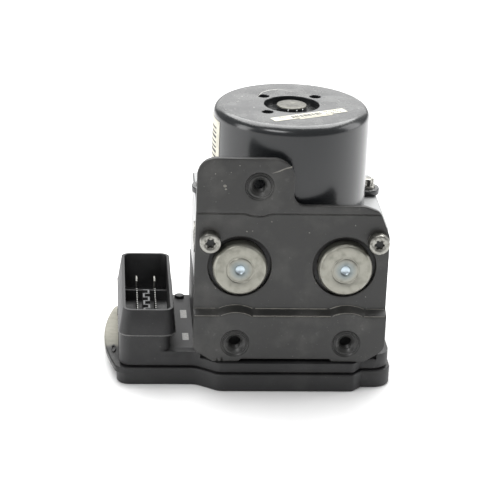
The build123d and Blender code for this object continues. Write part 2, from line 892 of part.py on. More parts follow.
# ---------------------------------------------------------------- control unit
def unit_outline(inset, bow=0.0):
    """Plan of the control unit: stepped front, notched back and, with `bow`, a bulged left side."""
    left, right, back = unit_left + inset, unit_right - inset, unit_back_y - inset
    front, lobe, right_front = unit_front_y + inset, unit_lobe_y + inset, unit_right_y + inset
    connector_back = socket_back - inset + connector_margin
    notch, notch_left_x = unit_notch_y - inset, socket_right + connector_margin - inset
    back_left = unit_back_left + inset
    edges = Polyline(
        (left, front), (lobe_left_start, front), (lobe_left, lobe), (lobe_right, lobe),
        (lobe_right_end - inset / 2, right_front), (right, right_front), (right, back), (back_left, back),
        (back_left, notch), (notch_left_x, notch), (notch_left_x, connector_back), (left, connector_back),
    )
    ends = (left, connector_back), (left, front)
    if bow:
        side = ThreePointArc(ends[0], (left - bow, (front + connector_back) / 2), ends[1])
    else:
        side = Line(*ends)
    face = make_face(edges + side)
    rounds = {
        (left, front): unit_corner, (lobe_left_start, front): lobe_round, (lobe_left, lobe): lobe_left_round,
        (lobe_right, lobe): lobe_right_round, (right, right_front): lobe_round, (right, back): unit_corner,
        (back_left, back): unit_notch_corner, (back_left, notch): unit_notch_round,
        (notch_left_x, connector_back): unit_notch_round, (left, connector_back): unit_corner,
    }
    for (x, y), radius in rounds.items():
        corner = face.vertices().sort_by_distance((x, y, 0))[0]
        face = fillet(corner, radius)
    return face


def coil_box(inset, z0, z1):
    """The raised box under the valve block."""
    half = block_side + coil_box_overhang - inset
    return rounded_slab(
        -half, half, coil_box_front + inset, block_back + coil_box_overhang - inset, z0, z1,
        coil_box_corner - inset / 2,
    )


def socket_box(grow, z0, z1):
    """A rounded prism on the connector's plan, grown outward by `grow`."""
    return rounded_slab(
        socket_left - grow, socket_right + grow, socket_front - grow, socket_back + grow, z0, z1,
        socket_corner + grow,
    )


def shroud():
    """Outer walls of the connector, flaring down to a lip that stands out from the foot below."""
    x = (socket_right + lip_right + socket_left - lip_left) / 2
    y = (socket_back + lip_back + socket_front - lip_front) / 2
    foot = Pos(x, y, lip_bottom) * RectangleRounded(
        socket_right + lip_right - socket_left + lip_left,
        socket_back + lip_back - socket_front + lip_front, socket_corner + lip_right,
    )
    mouth = Pos(socket_x, (socket_front + socket_back) / 2, socket_top) * RectangleRounded(
        socket_right - socket_left, socket_back - socket_front, socket_corner
    )
    return loft([foot, mouth], ruled=True)


def ecu_housing():
    """Moulded housing: flange, coil box and the upward connector shroud."""
    body = Pos(0, 0, housing_bottom + seam_gap) * extrude(
        unit_outline(housing_inset), unit_top - housing_bottom - seam_gap
    )
    body -= slab(
        ledge_left, ledge_right, unit_lobe_y - unit_corner, unit_front_y + ledge_margin, lobe_top,
        unit_top + 1,
    )
    body += Pos(0, 0, housing_bottom) * extrude(unit_outline(housing_inset + seam_inset), seam_gap)
    body += coil_box(0, unit_top - 1, block_bottom)
    body += rounded_slab(
        unit_left + housing_inset, socket_right - pedestal_inset, unit_front_y + housing_inset,
        socket_back - pedestal_inset, unit_top, lip_bottom, unit_corner,
    )
    body += shroud()
    # hollow for the coils and the circuit board, open below
    body -= Pos(0, 0, housing_bottom) * extrude(
        unit_outline(housing_inset + seam_inset + unit_wall), lobe_top - 2.0 - housing_bottom
    )
    body -= coil_box(unit_wall, lobe_top - 2.5, coil_top)
    for x in valve_columns:
        for y in valve_rows:
            body -= upright(valve_seat_radius + 1.3, 4.0, x, y, coil_top - 0.5)
    for side in (-1, 1):
        body -= upright(contact_hole_radius, 4.0, side * contact_x, contact_y, coil_top - 0.5)
    for x, y in housing_screw_places():
        body += upright(housing_screw_boss_radius, coil_top - lobe_top + 3.0, x, y, lobe_top - 2.0)
        body -= upright(housing_screw_radius + 0.2, block_bottom, x, y, 0)
    # connector well
    well = socket_box(-socket_wall, socket_floor, socket_top + 1)
    for y in partition_y:
        well -= slab(socket_left, socket_right, y - 0.6, y + 0.6, socket_floor, key_top - 4.0)
    for tooth in range(key_teeth):
        y0 = partition_y[1] + 0.6 + tooth * key_tooth
        x = socket_x + (key_step if tooth % 2 else -key_step)
        well -= slab(x - key_wall / 2, x + key_wall / 2, y0, y0 + key_tooth, socket_floor, key_top)
        well -= slab(socket_x - key_step - key_wall / 2, socket_x + key_step + key_wall / 2,
                     y0 + key_tooth - key_wall, y0 + key_tooth, socket_floor, key_top)
    body -= well
    for x, y in pin_places():
        half = pin_width / 2
        body -= slab(x - half, x + half, y - half, y + half, 0, socket_floor + 1)
    for x, y in blade_places():
        body -= slab(x - blade_thickness / 2, x + blade_thickness / 2, y - blade_width / 2,
                     y + blade_width / 2, 0, socket_floor + 1)
    return body


def pin_places():
    return [
        (socket_x + side * pin_spacing_x / 2, first_pin_y + index * pin_pitch)
        for side in (-1, 1) for index in range(pins_per_column)
    ]


def blade_places():
    return [(socket_x + side * pin_spacing_x / 2, y) for side in (-1, 1) for y in blade_y]


def connector_pins():
    """Signal pins, standing from the circuit board into the connector."""
    half = pin_width / 2
    bottom = board_bottom + board_thickness
    return group([slab(x - half, x + half, y - half, y + half, bottom, pin_tip_z) for x, y in pin_places()])


def connector_blades():
    """Power blades at both ends of the connector."""
    bottom = board_bottom + board_thickness
    pieces = []
    for x, y in blade_places():
        blade = slab(x - blade_thickness / 2, x + blade_thickness / 2, y - blade_width / 2,
                     y + blade_width / 2, bottom, pin_tip_z + 2.0)
        blade = chamfer(blade.edges().filter_by(Axis.X).sort_by(Axis.Z)[-2:], 1.0)
        pieces.append(blade)
    return group(pieces)


def housing_screw_places():
    return [(side * housing_screw_x, y) for side in (-1, 1) for y in housing_screw_rows]


def housing_screws():
    """Long screws from below that hold the control unit on the block."""
    pieces = []
    for x, y in housing_screw_places():
        seat = lobe_top - 2.0
        head = upright(housing_screw_head_radius, housing_screw_head_height, x, y,
                       seat - housing_screw_head_height)
        length = block_bottom + housing_screw_engagement - seat
        pieces.append(head + upright(housing_screw_radius, length, x, y, seat))
    return group(pieces)


def ecu_cover():
    """Shallow lower cover with a rim."""
    body = extrude(unit_outline(0), cover_height - rim_thickness)
    body = chamfer(body.faces().sort_by(Axis.Z)[0].edges(), cover_edge)
    rim = Pos(0, 0, cover_height - rim_thickness) * extrude(unit_outline(0, unit_bow), rim_thickness)
    body += chamfer(rim.faces().sort_by(Axis.Z)[-1].edges(), cover_rim_edge)
    body -= Pos(0, 0, cover_floor) * extrude(
        unit_outline(housing_inset + seam_inset + unit_wall), cover_height
    )
    return body - ecu_gasket()


def ecu_gasket():
    """Bead of sealant between cover and housing."""
    ring = unit_outline(gasket_inset) - unit_outline(gasket_inset + gasket_width)
    return Pos(0, 0, cover_height - gasket_height) * extrude(ring, gasket_height)


def circuit_board():
    """Board that carries the coils' drivers, just above the cover."""
    plan = unit_outline(housing_inset + seam_inset + unit_wall + board_gap)
    plate = Pos(0, 0, board_bottom) * extrude(plan, board_thickness)
    for x, y in housing_screw_places():
        plate -= upright(
            housing_screw_head_radius + board_gap, 3 * board_thickness, x, y, board_bottom - board_thickness
        )
    return plate


def vent_plug():
    """Pressure vent on the control unit's upper face."""
    x = (socket_right - block_side) / 2
    plug = upright(vent_radius, vent_height, x, vent_y, unit_top)
    return fillet(plug.edges().filter_by(GeomType.CIRCLE).sort_by(Axis.Z)[-1], vent_round)


# ---------------------------------------------------------------- labels
def top_label():
    """Strip label on the can's top."""
    plan = RectangleRounded(top_label_length, top_label_width, top_label_corner)
    plan = Pos(top_label_x, top_label_y) * Rot(0, 0, top_label_turn) * plan
    return Pos(0, 0, can_top) * extrude(plan, label_thickness)


def side_label():
    """Sticker wrapped round the can's left side."""
    z0 = can_top - side_label_drop - side_label_height
    inner = can_radius + label_glue
    ring = upright(inner + label_thickness, side_label_height, z=z0)
    ring -= upright(inner, side_label_height, z=z0)
    reach = 2 * can_radius
    corners = [(0, 0)]
    for step in range(5):
        angle = radians(side_label_start + side_label_sweep * step / 4)
        corners.append((reach * cos(angle), reach * sin(angle)))
    wedge = Pos(0, 0, z0) * extrude(make_face(Polyline(*corners, close=True)), side_label_height)
    return ring & wedge


NODES = {
    "motor_can": motor_can,
    "motor_screws": motor_screws,
    "motor_end_plate": motor_end_plate,
    "motor_magnets": motor_magnets,
    "motor_shaft": motor_shaft,
    "armature_core": armature_core,
    "armature_windings": armature_windings,
    "commutator": commutator,
    "top_bush": top_bush,
    "bearing_outer_race": bearing_outer_race,
    "bearing_inner_race": bearing_inner_race,
    "bearing_balls": bearing_balls,
    "eccentric_ring": eccentric_ring,
    "brush_holder": brush_holder,
    "brushes": brushes,
    "brush_springs": brush_springs,
    "shaft_seal": shaft_seal,
    "motor_contacts": motor_contacts,
    "valve_block": valve_block,
    "valve_cartridges": valve_cartridges,
    "valve_coils": valve_coils,
    "pump_piston_left": lambda: pump_piston(-1),
    "pump_piston_right": lambda: pump_piston(1),
    "pump_sleeves": pump_sleeves,
    "pump_spring_left": lambda: pump_spring(-1),
    "pump_spring_right": lambda: pump_spring(1),
    "pump_plugs": pump_plugs,
    "accumulator_cap_left": lambda: accumulator_cap(-1),
    "accumulator_cap_right": lambda: accumulator_cap(1),
    "accumulator_piston_left": lambda: accumulator_piston(-1),
    "accumulator_piston_right": lambda: accumulator_piston(1),
    "piston_seal_left": lambda: piston_seal(-1),
    "piston_seal_right": lambda: piston_seal(1),
    "accumulator_spring_left": lambda: accumulator_spring(-1),
    "accumulator_spring_right": lambda: accumulator_spring(1),
    "bracket": bracket,
    "bracket_nuts": bracket_nuts,
    "bracket_screws": bracket_screws,
    "ecu_housing": ecu_housing,
    "ecu_cover": ecu_cover,
    "ecu_gasket": ecu_gasket,
    "circuit_board": circuit_board,
    "connector_pins": connector_pins,
    "connector_blades": connector_blades,
    "housing_screws": housing_screws,
    "vent_plug": vent_plug,
    "top_label": top_label,
    "side_label": side_label,
}

os.makedirs("parts", exist_ok=True)
for name, make in NODES.items():
    export_step(make(), f"parts/{name}.step")
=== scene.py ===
"""Looks of an ABS brake module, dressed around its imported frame.  Metres, +Z up."""

import logging
import math
from collections.abc import Callable, Iterable, Iterator, Sequence
from contextlib import contextmanager
from dataclasses import dataclass, field
from enum import Enum
from itertools import accumulate

import bmesh
import bpy
from mathutils import Matrix, Vector
from mathutils.geometry import delaunay_2d_cdt


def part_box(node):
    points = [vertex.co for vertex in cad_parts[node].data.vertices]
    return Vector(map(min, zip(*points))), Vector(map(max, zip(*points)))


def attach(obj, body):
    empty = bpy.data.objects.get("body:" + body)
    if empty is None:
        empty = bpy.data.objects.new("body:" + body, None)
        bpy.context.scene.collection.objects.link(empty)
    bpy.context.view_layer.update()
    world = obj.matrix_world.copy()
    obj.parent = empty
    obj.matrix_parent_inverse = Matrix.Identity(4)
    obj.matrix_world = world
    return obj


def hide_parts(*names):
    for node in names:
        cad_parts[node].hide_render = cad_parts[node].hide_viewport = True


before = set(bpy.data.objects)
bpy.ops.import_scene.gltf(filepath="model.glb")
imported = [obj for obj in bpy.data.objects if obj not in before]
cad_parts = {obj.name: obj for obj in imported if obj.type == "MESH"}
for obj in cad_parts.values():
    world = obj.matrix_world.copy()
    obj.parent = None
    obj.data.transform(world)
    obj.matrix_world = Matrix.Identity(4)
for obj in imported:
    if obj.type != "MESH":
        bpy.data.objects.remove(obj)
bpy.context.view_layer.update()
LOG = logging.getLogger("brake_module")
MM = 0.001
MODULE_BODY = "module"
SHARP_DEG = 32.0        # drawn pieces: edges that turn more than this stay sharp
COPY_SHARP_DEG = 35.0   # the same for copies of frame nodes
RIM_STEPS = 4           # faces across a rounded rim
BEND_SOFT = 0.16        # share of a bend that each of its radii takes
SPECK_SIDES = 7
HOLE_SIDES = 32
CAN_SIDES = 160
SHOULDER_STEPS = 12
LOBE_STEPS = 48
DOUBLE = 1e-6           # points of a drawn piece nearer than this are one
NODE_DOUBLE = 2e-6      # the same for a frame node's mesh
NO_LENGTH = 1e-7        # edges shorter than this are dissolved
FLAT_DEG = 0.1          # faces that turn less than this are one flat
BEVEL_DEG = 40.0        # edges that turn more than this are rounded
LEAST_STRETCH = 0.35    # holds the inset back at very sharp corners
SCATTER_SEED = 11

Point2 = tuple[float, float]
Point3 = tuple[float, float, float]
Level = float | Callable[[float, float], float]
SOCKETS = {
    "coat_weight": "Coat Weight", "coat_roughness": "Coat Roughness", "specular": "Specular IOR Level",
}


# ---------------------------------------------------------------- small geometry tools
def mm(*values: float) -> tuple[float, ...]:
    """Millimetres as metres."""
    return tuple(value * MM for value in values)


def bend_share(run: float, length: float) -> float:
    """How far a sheet has stepped over at a place on a straight bend with small radii.

    Args:
        run: distance past the bend's near line, in the bend's own direction.
        length: the bend's length in that direction.

    Returns:
        0 before the bend, 1 behind it.
    """
    share = run / length
    if share <= -BEND_SOFT:
        return 0.0
    if share < BEND_SOFT:
        return (share + BEND_SOFT) ** 2 / (4 * BEND_SOFT)
    if share <= 1 - BEND_SOFT:
        return share
    if share < 1 + BEND_SOFT:
        return 1 - (1 + BEND_SOFT - share) ** 2 / (4 * BEND_SOFT)
    return 1.0


def rectangle(left: float, right: float, front: float, back: float) -> list[Point2]:
    """A rectangle as an anticlockwise outline."""
    return [(left, front), (right, front), (right, back), (left, back)]


def full_turn(steps: int) -> list[float]:
    """Evenly spaced angles round a circle, in radians."""
    return [2 * math.pi * step / steps for step in range(steps)]


def quarter_turn(steps: int) -> list[float]:
    """Evenly spaced angles from 0 to a right angle, both ends included, in radians."""
    return [math.pi / 2 * step / steps for step in range(steps + 1)]


def rounded_outline(corners: Sequence[tuple[float, float, float]], step_deg: float = 9.0) -> list[Point2]:
    """A closed outline whose corners are arcs.

    Args:
        corners: x, y and radius of each corner, anticlockwise.
        step_deg: the largest turn between two points of an arc.

    Returns:
        The outline's points, anticlockwise.
    """
    points: list[Point2] = []
    count = len(corners)
    for index, (x, y, radius) in enumerate(corners):
        here = Vector((x, y))
        before = Vector(corners[index - 1][:2]) - here
        after = Vector(corners[(index + 1) % count][:2]) - here
        if radius <= 0:
            points.append((x, y))
            continue
        before.normalize()
        after.normalize()
        half = before.angle(after) / 2
        reach = radius / math.tan(half)
        centre = here + (before + after).normalized() * (radius / math.sin(half))
        start = here + before * reach - centre
        turn = start.angle_signed(here + after * reach - centre)
        steps = max(2, math.ceil(abs(math.degrees(turn)) / step_deg))
        for step in range(steps + 1):
            spoke = start.copy()
            spoke.rotate(Matrix.Rotation(-turn * step / steps, 2))
            points.append(tuple(centre + spoke))
    return points


def circle_outline(radius: float, centre: Point2 = (0.0, 0.0), segments: int = 64) -> list[Point2]:
    """A circle as an anticlockwise outline.

    Args:
        radius: its radius.
        centre: its middle.
        segments: how many sides stand for it.

    Returns:
        The circle's points.
    """
    return [
        (centre[0] + radius * math.cos(t), centre[1] + radius * math.sin(t)) for t in full_turn(segments)
    ]


def rounded_rectangle(left: float, right: float, front: float, back: float, corner: float) -> list[Point2]:
    """A rectangle with four equal rounded corners, anticlockwise."""
    return rounded_outline([(x, y, corner) for x, y in rectangle(left, right, front, back)])


def lobed_outline(mean_mm: float, swing_mm: float) -> list[Point2]:
    """The outline of a six-lobed drive.

    Args:
        mean_mm: its mean radius.
        swing_mm: how far the lobes reach past that.

    Returns:
        The outline's points, in metres.
    """
    points = []
    for angle in full_turn(LOBE_STEPS):
        reach = (mean_mm + swing_mm * math.cos(6 * angle)) * MM
        points.append((reach * math.cos(angle), reach * math.sin(angle)))
    return points


def arc_band(inner: float, outer: float, turns: Sequence[float], centre: Point2 = (0.0, 0.0)) -> list[Point2]:
    """A part of a ring: there along its outside, and back along its inside.

    Args:
        inner: its inner radius.
        outer: its outer radius.
        turns: the angles along it.
        centre: the middle of the circles.

    Returns:
        The band's outline.
    """
    x, y = centre
    there = [(x + outer * math.cos(t), y + outer * math.sin(t)) for t in turns]
    back = [(x + inner * math.cos(t), y + inner * math.sin(t)) for t in turns]
    return there + back[::-1]


def speck(x: float, y: float, size: float, waves: int) -> list[Point2]:
    """An uneven chip of paint.

    Args:
        x: its middle, in millimetres.
        y: its middle, in millimetres.
        size: its radius, in millimetres.
        waves: how many times its edge swings in and out.

    Returns:
        The chip's outline, in metres.
    """
    return [
        mm(x + size * math.cos(t) * (1 + 0.3 * math.sin(waves * t + x)), y + size * math.sin(t))
        for t in full_turn(SPECK_SIDES)
    ]


def stroke(path: Sequence[Point2], widths: Sequence[float]) -> list[Point2]:
    """A narrow outline that runs along a path and back.

    Args:
        path: the stroke's middle line, in millimetres.
        widths: how far it reaches to either side at each point, in millimetres.

    Returns:
        The outline, in metres.
    """
    there = [mm(x, y - w) for (x, y), w in zip(path, widths)]
    back = [mm(x, y + w) for (x, y), w in zip(path, widths)]
    return there + back[::-1]


def middle_of(outline: Sequence[Point2]) -> Point2:
    """The mean of an outline's points."""
    return tuple(sum(point[axis] for point in outline) / len(outline) for axis in (0, 1))


def inset_outline(points: Sequence[Point2], distance: float) -> list[Point2]:
    """An anticlockwise outline moved inwards, with as many points as before.

    Args:
        points: the outline.
        distance: how far it moves in, or out where it is negative.

    Returns:
        The moved outline.
    """
    moved: list[Point2] = []
    count = len(points)
    for index, point in enumerate(points):
        here = Vector(point)
        into = (here - Vector(points[index - 1])).normalized()
        out = (Vector(points[(index + 1) % count]) - here).normalized()
        normal = Vector((-into.y - out.y, into.x + out.x))
        if normal.length < 1e-9:
            moved.append(point)
            continue
        normal.normalize()
        stretch = max(LEAST_STRETCH, normal.dot(Vector((-into.y, into.x))))
        moved.append(tuple(here + normal * (distance / stretch)))
    return moved


def inside(point: Point2, outline: Sequence[Point2]) -> bool:
    """Whether a point lies in an outline.

    Args:
        point: the point asked about.
        outline: a closed outline.

    Returns:
        True if the point is inside.
    """
    x, y = point
    found = False
    for (x0, y0), (x1, y1) in zip(outline, [*outline[1:], outline[0]]):
        if (y0 > y) != (y1 > y) and x < (x1 - x0) * (y - y0) / (y1 - y0) + x0:
            found = not found
    return found


class Plane(Enum):
    """How a flat outline's two axes lie in space, and which way its height runs."""

    TOP = "top"        # outline in X and Y, height along +Z
    FRONT = "front"    # outline in X and Z, height along -Y


class Shape:
    """A mesh under construction."""

    def __init__(self, plane: Plane = Plane.TOP) -> None:
        """Starts an empty shape.

        Args:
            plane: how outlines are laid out in space.
        """
        self.plane = plane
        self.points: list[Point3] = []
        self.faces: list[tuple[int, ...]] = []

    def place(self, x: float, y: float, height: float) -> Point3:
        """A point of an outline at a height, in space."""
        return (x, y, height) if self.plane is Plane.TOP else (x, -height, y)

    def ring(self, outline: Iterable[Point2], height: Level) -> list[int]:
        """Adds an outline's points.

        Args:
            outline: the points in the plane.
            height: one height, or a function of the place.

        Returns:
            The new points' numbers.
        """
        start = len(self.points)
        for x, y in outline:
            level = height(x, y) if callable(height) else height
            self.points.append(self.place(x, y, level))
        return list(range(start, len(self.points)))

    def skin(self, *rings: Sequence[int]) -> None:
        """Joins each ring to the next with four-sided faces."""
        for low, high in zip(rings, rings[1:]):
            for index in range(len(low)):
                after = (index + 1) % len(low)
                self.faces.append((low[index], low[after], high[after], high[index]))

    def cap(self, ring: Sequence[int], up: bool = True) -> None:
        """Closes a ring with one face."""
        self.faces.append(tuple(ring) if up else tuple(reversed(ring)))

    def plate(self, outline: Sequence[Point2], low: Level, high: Level) -> None:
        """A flat or bent plate with one face below and one above."""
        rings = [self.ring(outline, level) for level in (low, high)]
        self.skin(*rings)
        self.cap(rings[0], up=False)
        self.cap(rings[1])

    def ribbon(self, outline: Sequence[Point2], low: Level, high: Level) -> None:
        """A long plate whose outline runs there and back, with a four-sided face for each step."""
        rings = [self.ring(outline, level) for level in (low, high)]
        self.skin(*rings)
        for ring, up in zip(rings, (False, True)):
            for index in range(len(ring) // 2 - 1):
                self.cap((ring[index], ring[index + 1], ring[-2 - index], ring[-1 - index]), up)

    def fan(self, ring: Sequence[int], height: float) -> None:
        """Closes a round ring with triangles to its middle."""
        axes = (0, 1) if self.plane is Plane.TOP else (0, 2)
        middle = [sum(self.points[i][axis] for i in ring) / len(ring) for axis in axes]
        centre = self.ring([tuple(middle)], height)[0]
        for index, here in enumerate(ring):
            self.faces.append((here, ring[(index + 1) % len(ring)], centre))

    def join(self, other: "Shape") -> None:
        """Adds another shape's points and faces."""
        offset = len(self.points)
        self.points += other.points
        self.faces += [tuple(i + offset for i in face) for face in other.faces]

    def lathe(self, profile: Sequence[Point2], centre: Point2 = (0.0, 0.0), segments: int = 96) -> None:
        """Turns a profile of (radius, height) round the height axis.

        Args:
            profile: from one end of the surface to the other, outside on the right hand going up.
            centre: where the axis stands.
            segments: sides in a full turn.
        """
        rings = []
        for radius, height in profile:
            if radius < NO_LENGTH:
                rings.append(self.ring([centre], height) * segments)
            else:
                rings.append(self.ring(circle_outline(radius, centre, segments), height))
        for low, high in zip(rings, rings[1:]):
            for index in range(segments):
                after = (index + 1) % segments
                corners = (low[index], low[after], high[after], high[index])
                self.faces.append(tuple(dict.fromkeys(corners)))

    def prism(
        self, outline: Sequence[Point2], low: float, high: float, low_round: float = 0.0,
        high_round: float = 0.0, steps: int = RIM_STEPS,
    ) -> None:
        """A solid with upright walls and rounded rims.

        Args:
            outline: its plan, anticlockwise.
            low: height of its underside.
            high: height of its top.
            low_round: radius of the lower rim.
            high_round: radius of the upper rim.
            steps: faces across a rounded rim.
        """
        path = [*rim_path(low_round, low, 1, steps), *reversed(rim_path(high_round, high, -1, steps))]
        rings = [self.ring(inset_outline(outline, inset), height) for inset, height in path]
        self.skin(*rings)
        self.cap(rings[0], up=False)
        self.cap(rings[-1])

    def field(
        self, outer: Sequence[Point2], holes: Sequence[Sequence[Point2]], extra: Sequence[Point2],
        height: Level, up: bool = True,
    ) -> None:
        """A face with holes, triangulated with extra points in it.

        Args:
            outer: its edge, anticlockwise.
            holes: the holes' edges, anticlockwise.
            extra: points inside, where the face bends.
            height: one height, or a function of the place.
            up: which way the face looks.
        """
        flat: list[Point2] = []
        edges: list[tuple[int, int]] = []
        for loop in (outer, *holes):
            start = len(flat)
            flat += loop
            edges += [(start + i, start + (i + 1) % len(loop)) for i in range(len(loop))]
        flat += extra
        found, _, triangles, *_ = delaunay_2d_cdt([Vector(p) for p in flat], edges, [], 1, 1e-9, True)
        numbers = self.ring([tuple(p) for p in found], height)
        for triangle in triangles:
            middle = tuple(sum((found[i] for i in triangle), Vector((0, 0))) / len(triangle))
            if not inside(middle, outer) or any(inside(middle, hole) for hole in holes):
                continue
            a, b, c = (found[i] for i in triangle[:3])
            anticlockwise = (b - a).cross(c - a) > 0
            self.cap([numbers[i] for i in triangle], anticlockwise == up)

    def mesh(self, name: str, transform: Matrix | None = None) -> bpy.types.Mesh:
        """The finished mesh, with its doubles merged.

        Args:
            name: the mesh's name.
            transform: where the shape goes, if not where it was drawn.

        Returns:
            The mesh.
        """
        mesh = bpy.data.meshes.new(name)
        mesh.from_pydata(self.points, [], self.faces)
        if transform:
            mesh.transform(transform)
        tidy_mesh(mesh)
        return mesh


def rim_path(radius: float, level: float, direction: int, steps: int = RIM_STEPS) -> list[Point2]:
    """Inset and height along a rounded rim, from the flat face to the wall.

    Args:
        radius: the rim's radius.
        level: height of the flat face.
        direction: 1 if the wall goes up from the rim, -1 if it goes down.
        steps: faces across the rim.

    Returns:
        The path's (inset, height) pairs.
    """
    if radius <= 0:
        return [(0.0, level)]
    return [
        (radius * (1 - math.sin(turn)), level + direction * radius * (1 - math.cos(turn)))
        for turn in quarter_turn(steps)
    ]


@contextmanager
def editing(mesh: bpy.types.Mesh) -> Iterator[bmesh.types.BMesh]:
    """Opens a mesh for changes, and writes them back."""
    work = bmesh.new()
    work.from_mesh(mesh)
    yield work
    work.to_mesh(mesh)
    work.free()


def shade(mesh: bpy.types.Mesh, sharp_deg: float) -> None:
    """Shades a mesh smooth, apart from edges that turn more than an angle."""
    mesh.shade_smooth()
    mesh.set_sharp_from_angle(angle=math.radians(sharp_deg))


def tidy_mesh(mesh: bpy.types.Mesh) -> None:
    """Merges doubles, turns normals outwards and shades smooth up to an angle."""
    with editing(mesh) as work:
        bmesh.ops.remove_doubles(work, verts=work.verts, dist=DOUBLE)
        bmesh.ops.dissolve_degenerate(work, edges=work.edges, dist=NO_LENGTH)
        bmesh.ops.recalc_face_normals(work, faces=work.faces)
    shade(mesh, SHARP_DEG)


# ---------------------------------------------------------------- materials
def linear(code: str) -> tuple[float, float, float, float]:
    """An sRGB hex colour as linear red, green, blue and alpha.

    Args:
        code: six hex digits, with or without a leading hash.

    Returns:
        The linear colour.
    """
    parts = [int(code.lstrip("#")[i:i + 2], 16) / 255 for i in (0, 2, 4)]
    red, green, blue = (c / 12.92 if c <= 0.04045 else ((c + 0.055) / 1.055) ** 2.4 for c in parts)
    return red, green, blue, 1.0


class Finish:
    """A node material under construction, with one shader and object coordinates."""

    def __init__(
        self, name: str, base: str, roughness: float, metallic: float = 0.0, **sockets: float,
    ) -> None:
        """Starts a material from the shader's plain values.

        Args:
            name: what the surface is and how it was made.
            base: sRGB hex colour.
            roughness: the shader's roughness.
            metallic: 1 for bare metal, 0 for the rest.
            sockets: other shader sockets, by their names with underscores.
        """
        self.material = bpy.data.materials.new(name)
        self.material.use_nodes = True
        self.tree = self.material.node_tree
        self.shader = next(n for n in self.tree.nodes if n.type == "BSDF_PRINCIPLED")
        self.shader.inputs["Base Color"].default_value = linear(base)
        self.shader.inputs["Roughness"].default_value = roughness
        self.shader.inputs["Metallic"].default_value = metallic
        for key, value in sockets.items():
            self.shader.inputs[SOCKETS[key]].default_value = value
        self.place = self.add("ShaderNodeTexCoord").outputs["Object"]
        self.height: bpy.types.NodeSocket | None = None

    def add(
        self, kind: str, links: dict[str | int, object] | None = None, **settings: object,
    ) -> bpy.types.Node:
        """Adds a node with its settings and links.

        Args:
            kind: the node's type.
            links: a socket to link from, or a value to set, for each input.
            settings: the node's own properties.

        Returns:
            The node.
        """
        node = self.tree.nodes.new(kind)
        for key, value in settings.items():
            setattr(node, key, value)
        for key, value in (links or {}).items():
            if isinstance(value, bpy.types.NodeSocket):
                self.tree.links.new(value, node.inputs[key])
            else:
                node.inputs[key].default_value = value
        return node

    def noise(
        self, size_mm: float, detail: float = 3.0, stretch: Point3 = (1, 1, 1), seed: float = 0.0,
    ) -> bpy.types.NodeSocket:
        """Soft noise whose blotches are about one size.

        Args:
            size_mm: the blotches' real size.
            detail: how much finer noise rides on them.
            stretch: how many times finer the pattern is along each axis.
            seed: an offset that picks another patch of noise.

        Returns:
            The noise's factor socket.
        """
        scale = 1 / (size_mm * MM)
        place = self.add("ShaderNodeMapping", {
            "Vector": self.place, "Scale": stretch, "Location": (seed * 0.37, seed * 0.61, seed * 0.13),
        }).outputs["Vector"]
        links = {"Vector": place, "Scale": scale, "Detail": detail}
        return self.add("ShaderNodeTexNoise", links).outputs["Fac"]

    def ramp(
        self, source: bpy.types.NodeSocket, low: float, high: float,
        out_low: float = 0.0, out_high: float = 1.0,
    ) -> bpy.types.NodeSocket:
        """Maps part of a factor's range to another range, clamped.

        Args:
            source: the factor.
            low: where the range begins.
            high: where it ends.
            out_low: value at low.
            out_high: value at high.

        Returns:
            The mapped factor.
        """
        return self.add("ShaderNodeMapRange", {
            "Value": source, "From Min": low, "From Max": high, "To Min": out_low, "To Max": out_high,
        }, interpolation_type="SMOOTHSTEP").outputs["Result"]

    def math(self, operation: str, first: object, second: object = 0.0) -> bpy.types.NodeSocket:
        """One sum on two factors."""
        return self.add("ShaderNodeMath", {0: first, 1: second}, operation=operation).outputs[0]

    def present(self, name: str) -> object:
        """What feeds a shader socket now: another socket, or its own value."""
        socket = self.shader.inputs[name]
        return socket.links[0].from_socket if socket.links else socket.default_value

    def tint(self, factor: bpy.types.NodeSocket, colour: str, share: float | None = None) -> None:
        """Mixes a colour over the present base colour where a factor is high.

        Args:
            factor: where the colour shows.
            colour: sRGB hex colour.
            share: how strong it is at most, if not full.
        """
        if share is not None:
            factor = self.math("MULTIPLY", factor, share)
        mix = self.add(
            "ShaderNodeMix", {0: factor, 6: self.present("Base Color"), 7: linear(colour)}, data_type="RGBA"
        )
        self.tree.links.new(mix.outputs[2], self.shader.inputs["Base Color"])

    def roughen(self, factor: bpy.types.NodeSocket, amount: float) -> None:
        """Adds a share of a factor to the roughness."""
        total = self.math("ADD", self.present("Roughness"), self.math("MULTIPLY", factor, amount))
        self.tree.links.new(total, self.shader.inputs["Roughness"])

    def raise_by(self, factor: bpy.types.NodeSocket, depth_mm: float) -> None:
        """Adds relief of a real depth."""
        level = self.math("MULTIPLY", factor, depth_mm * MM)
        self.height = self.math("ADD", self.height, level) if self.height else level

    def done(self) -> bpy.types.Material:
        """Links the relief and returns the material."""
        if self.height:
            bump = self.add("ShaderNodeBump", {"Height": self.height, "Distance": 1.0, "Strength": 1.0})
            self.tree.links.new(bump.outputs["Normal"], self.shader.inputs["Normal"])
        return self.material


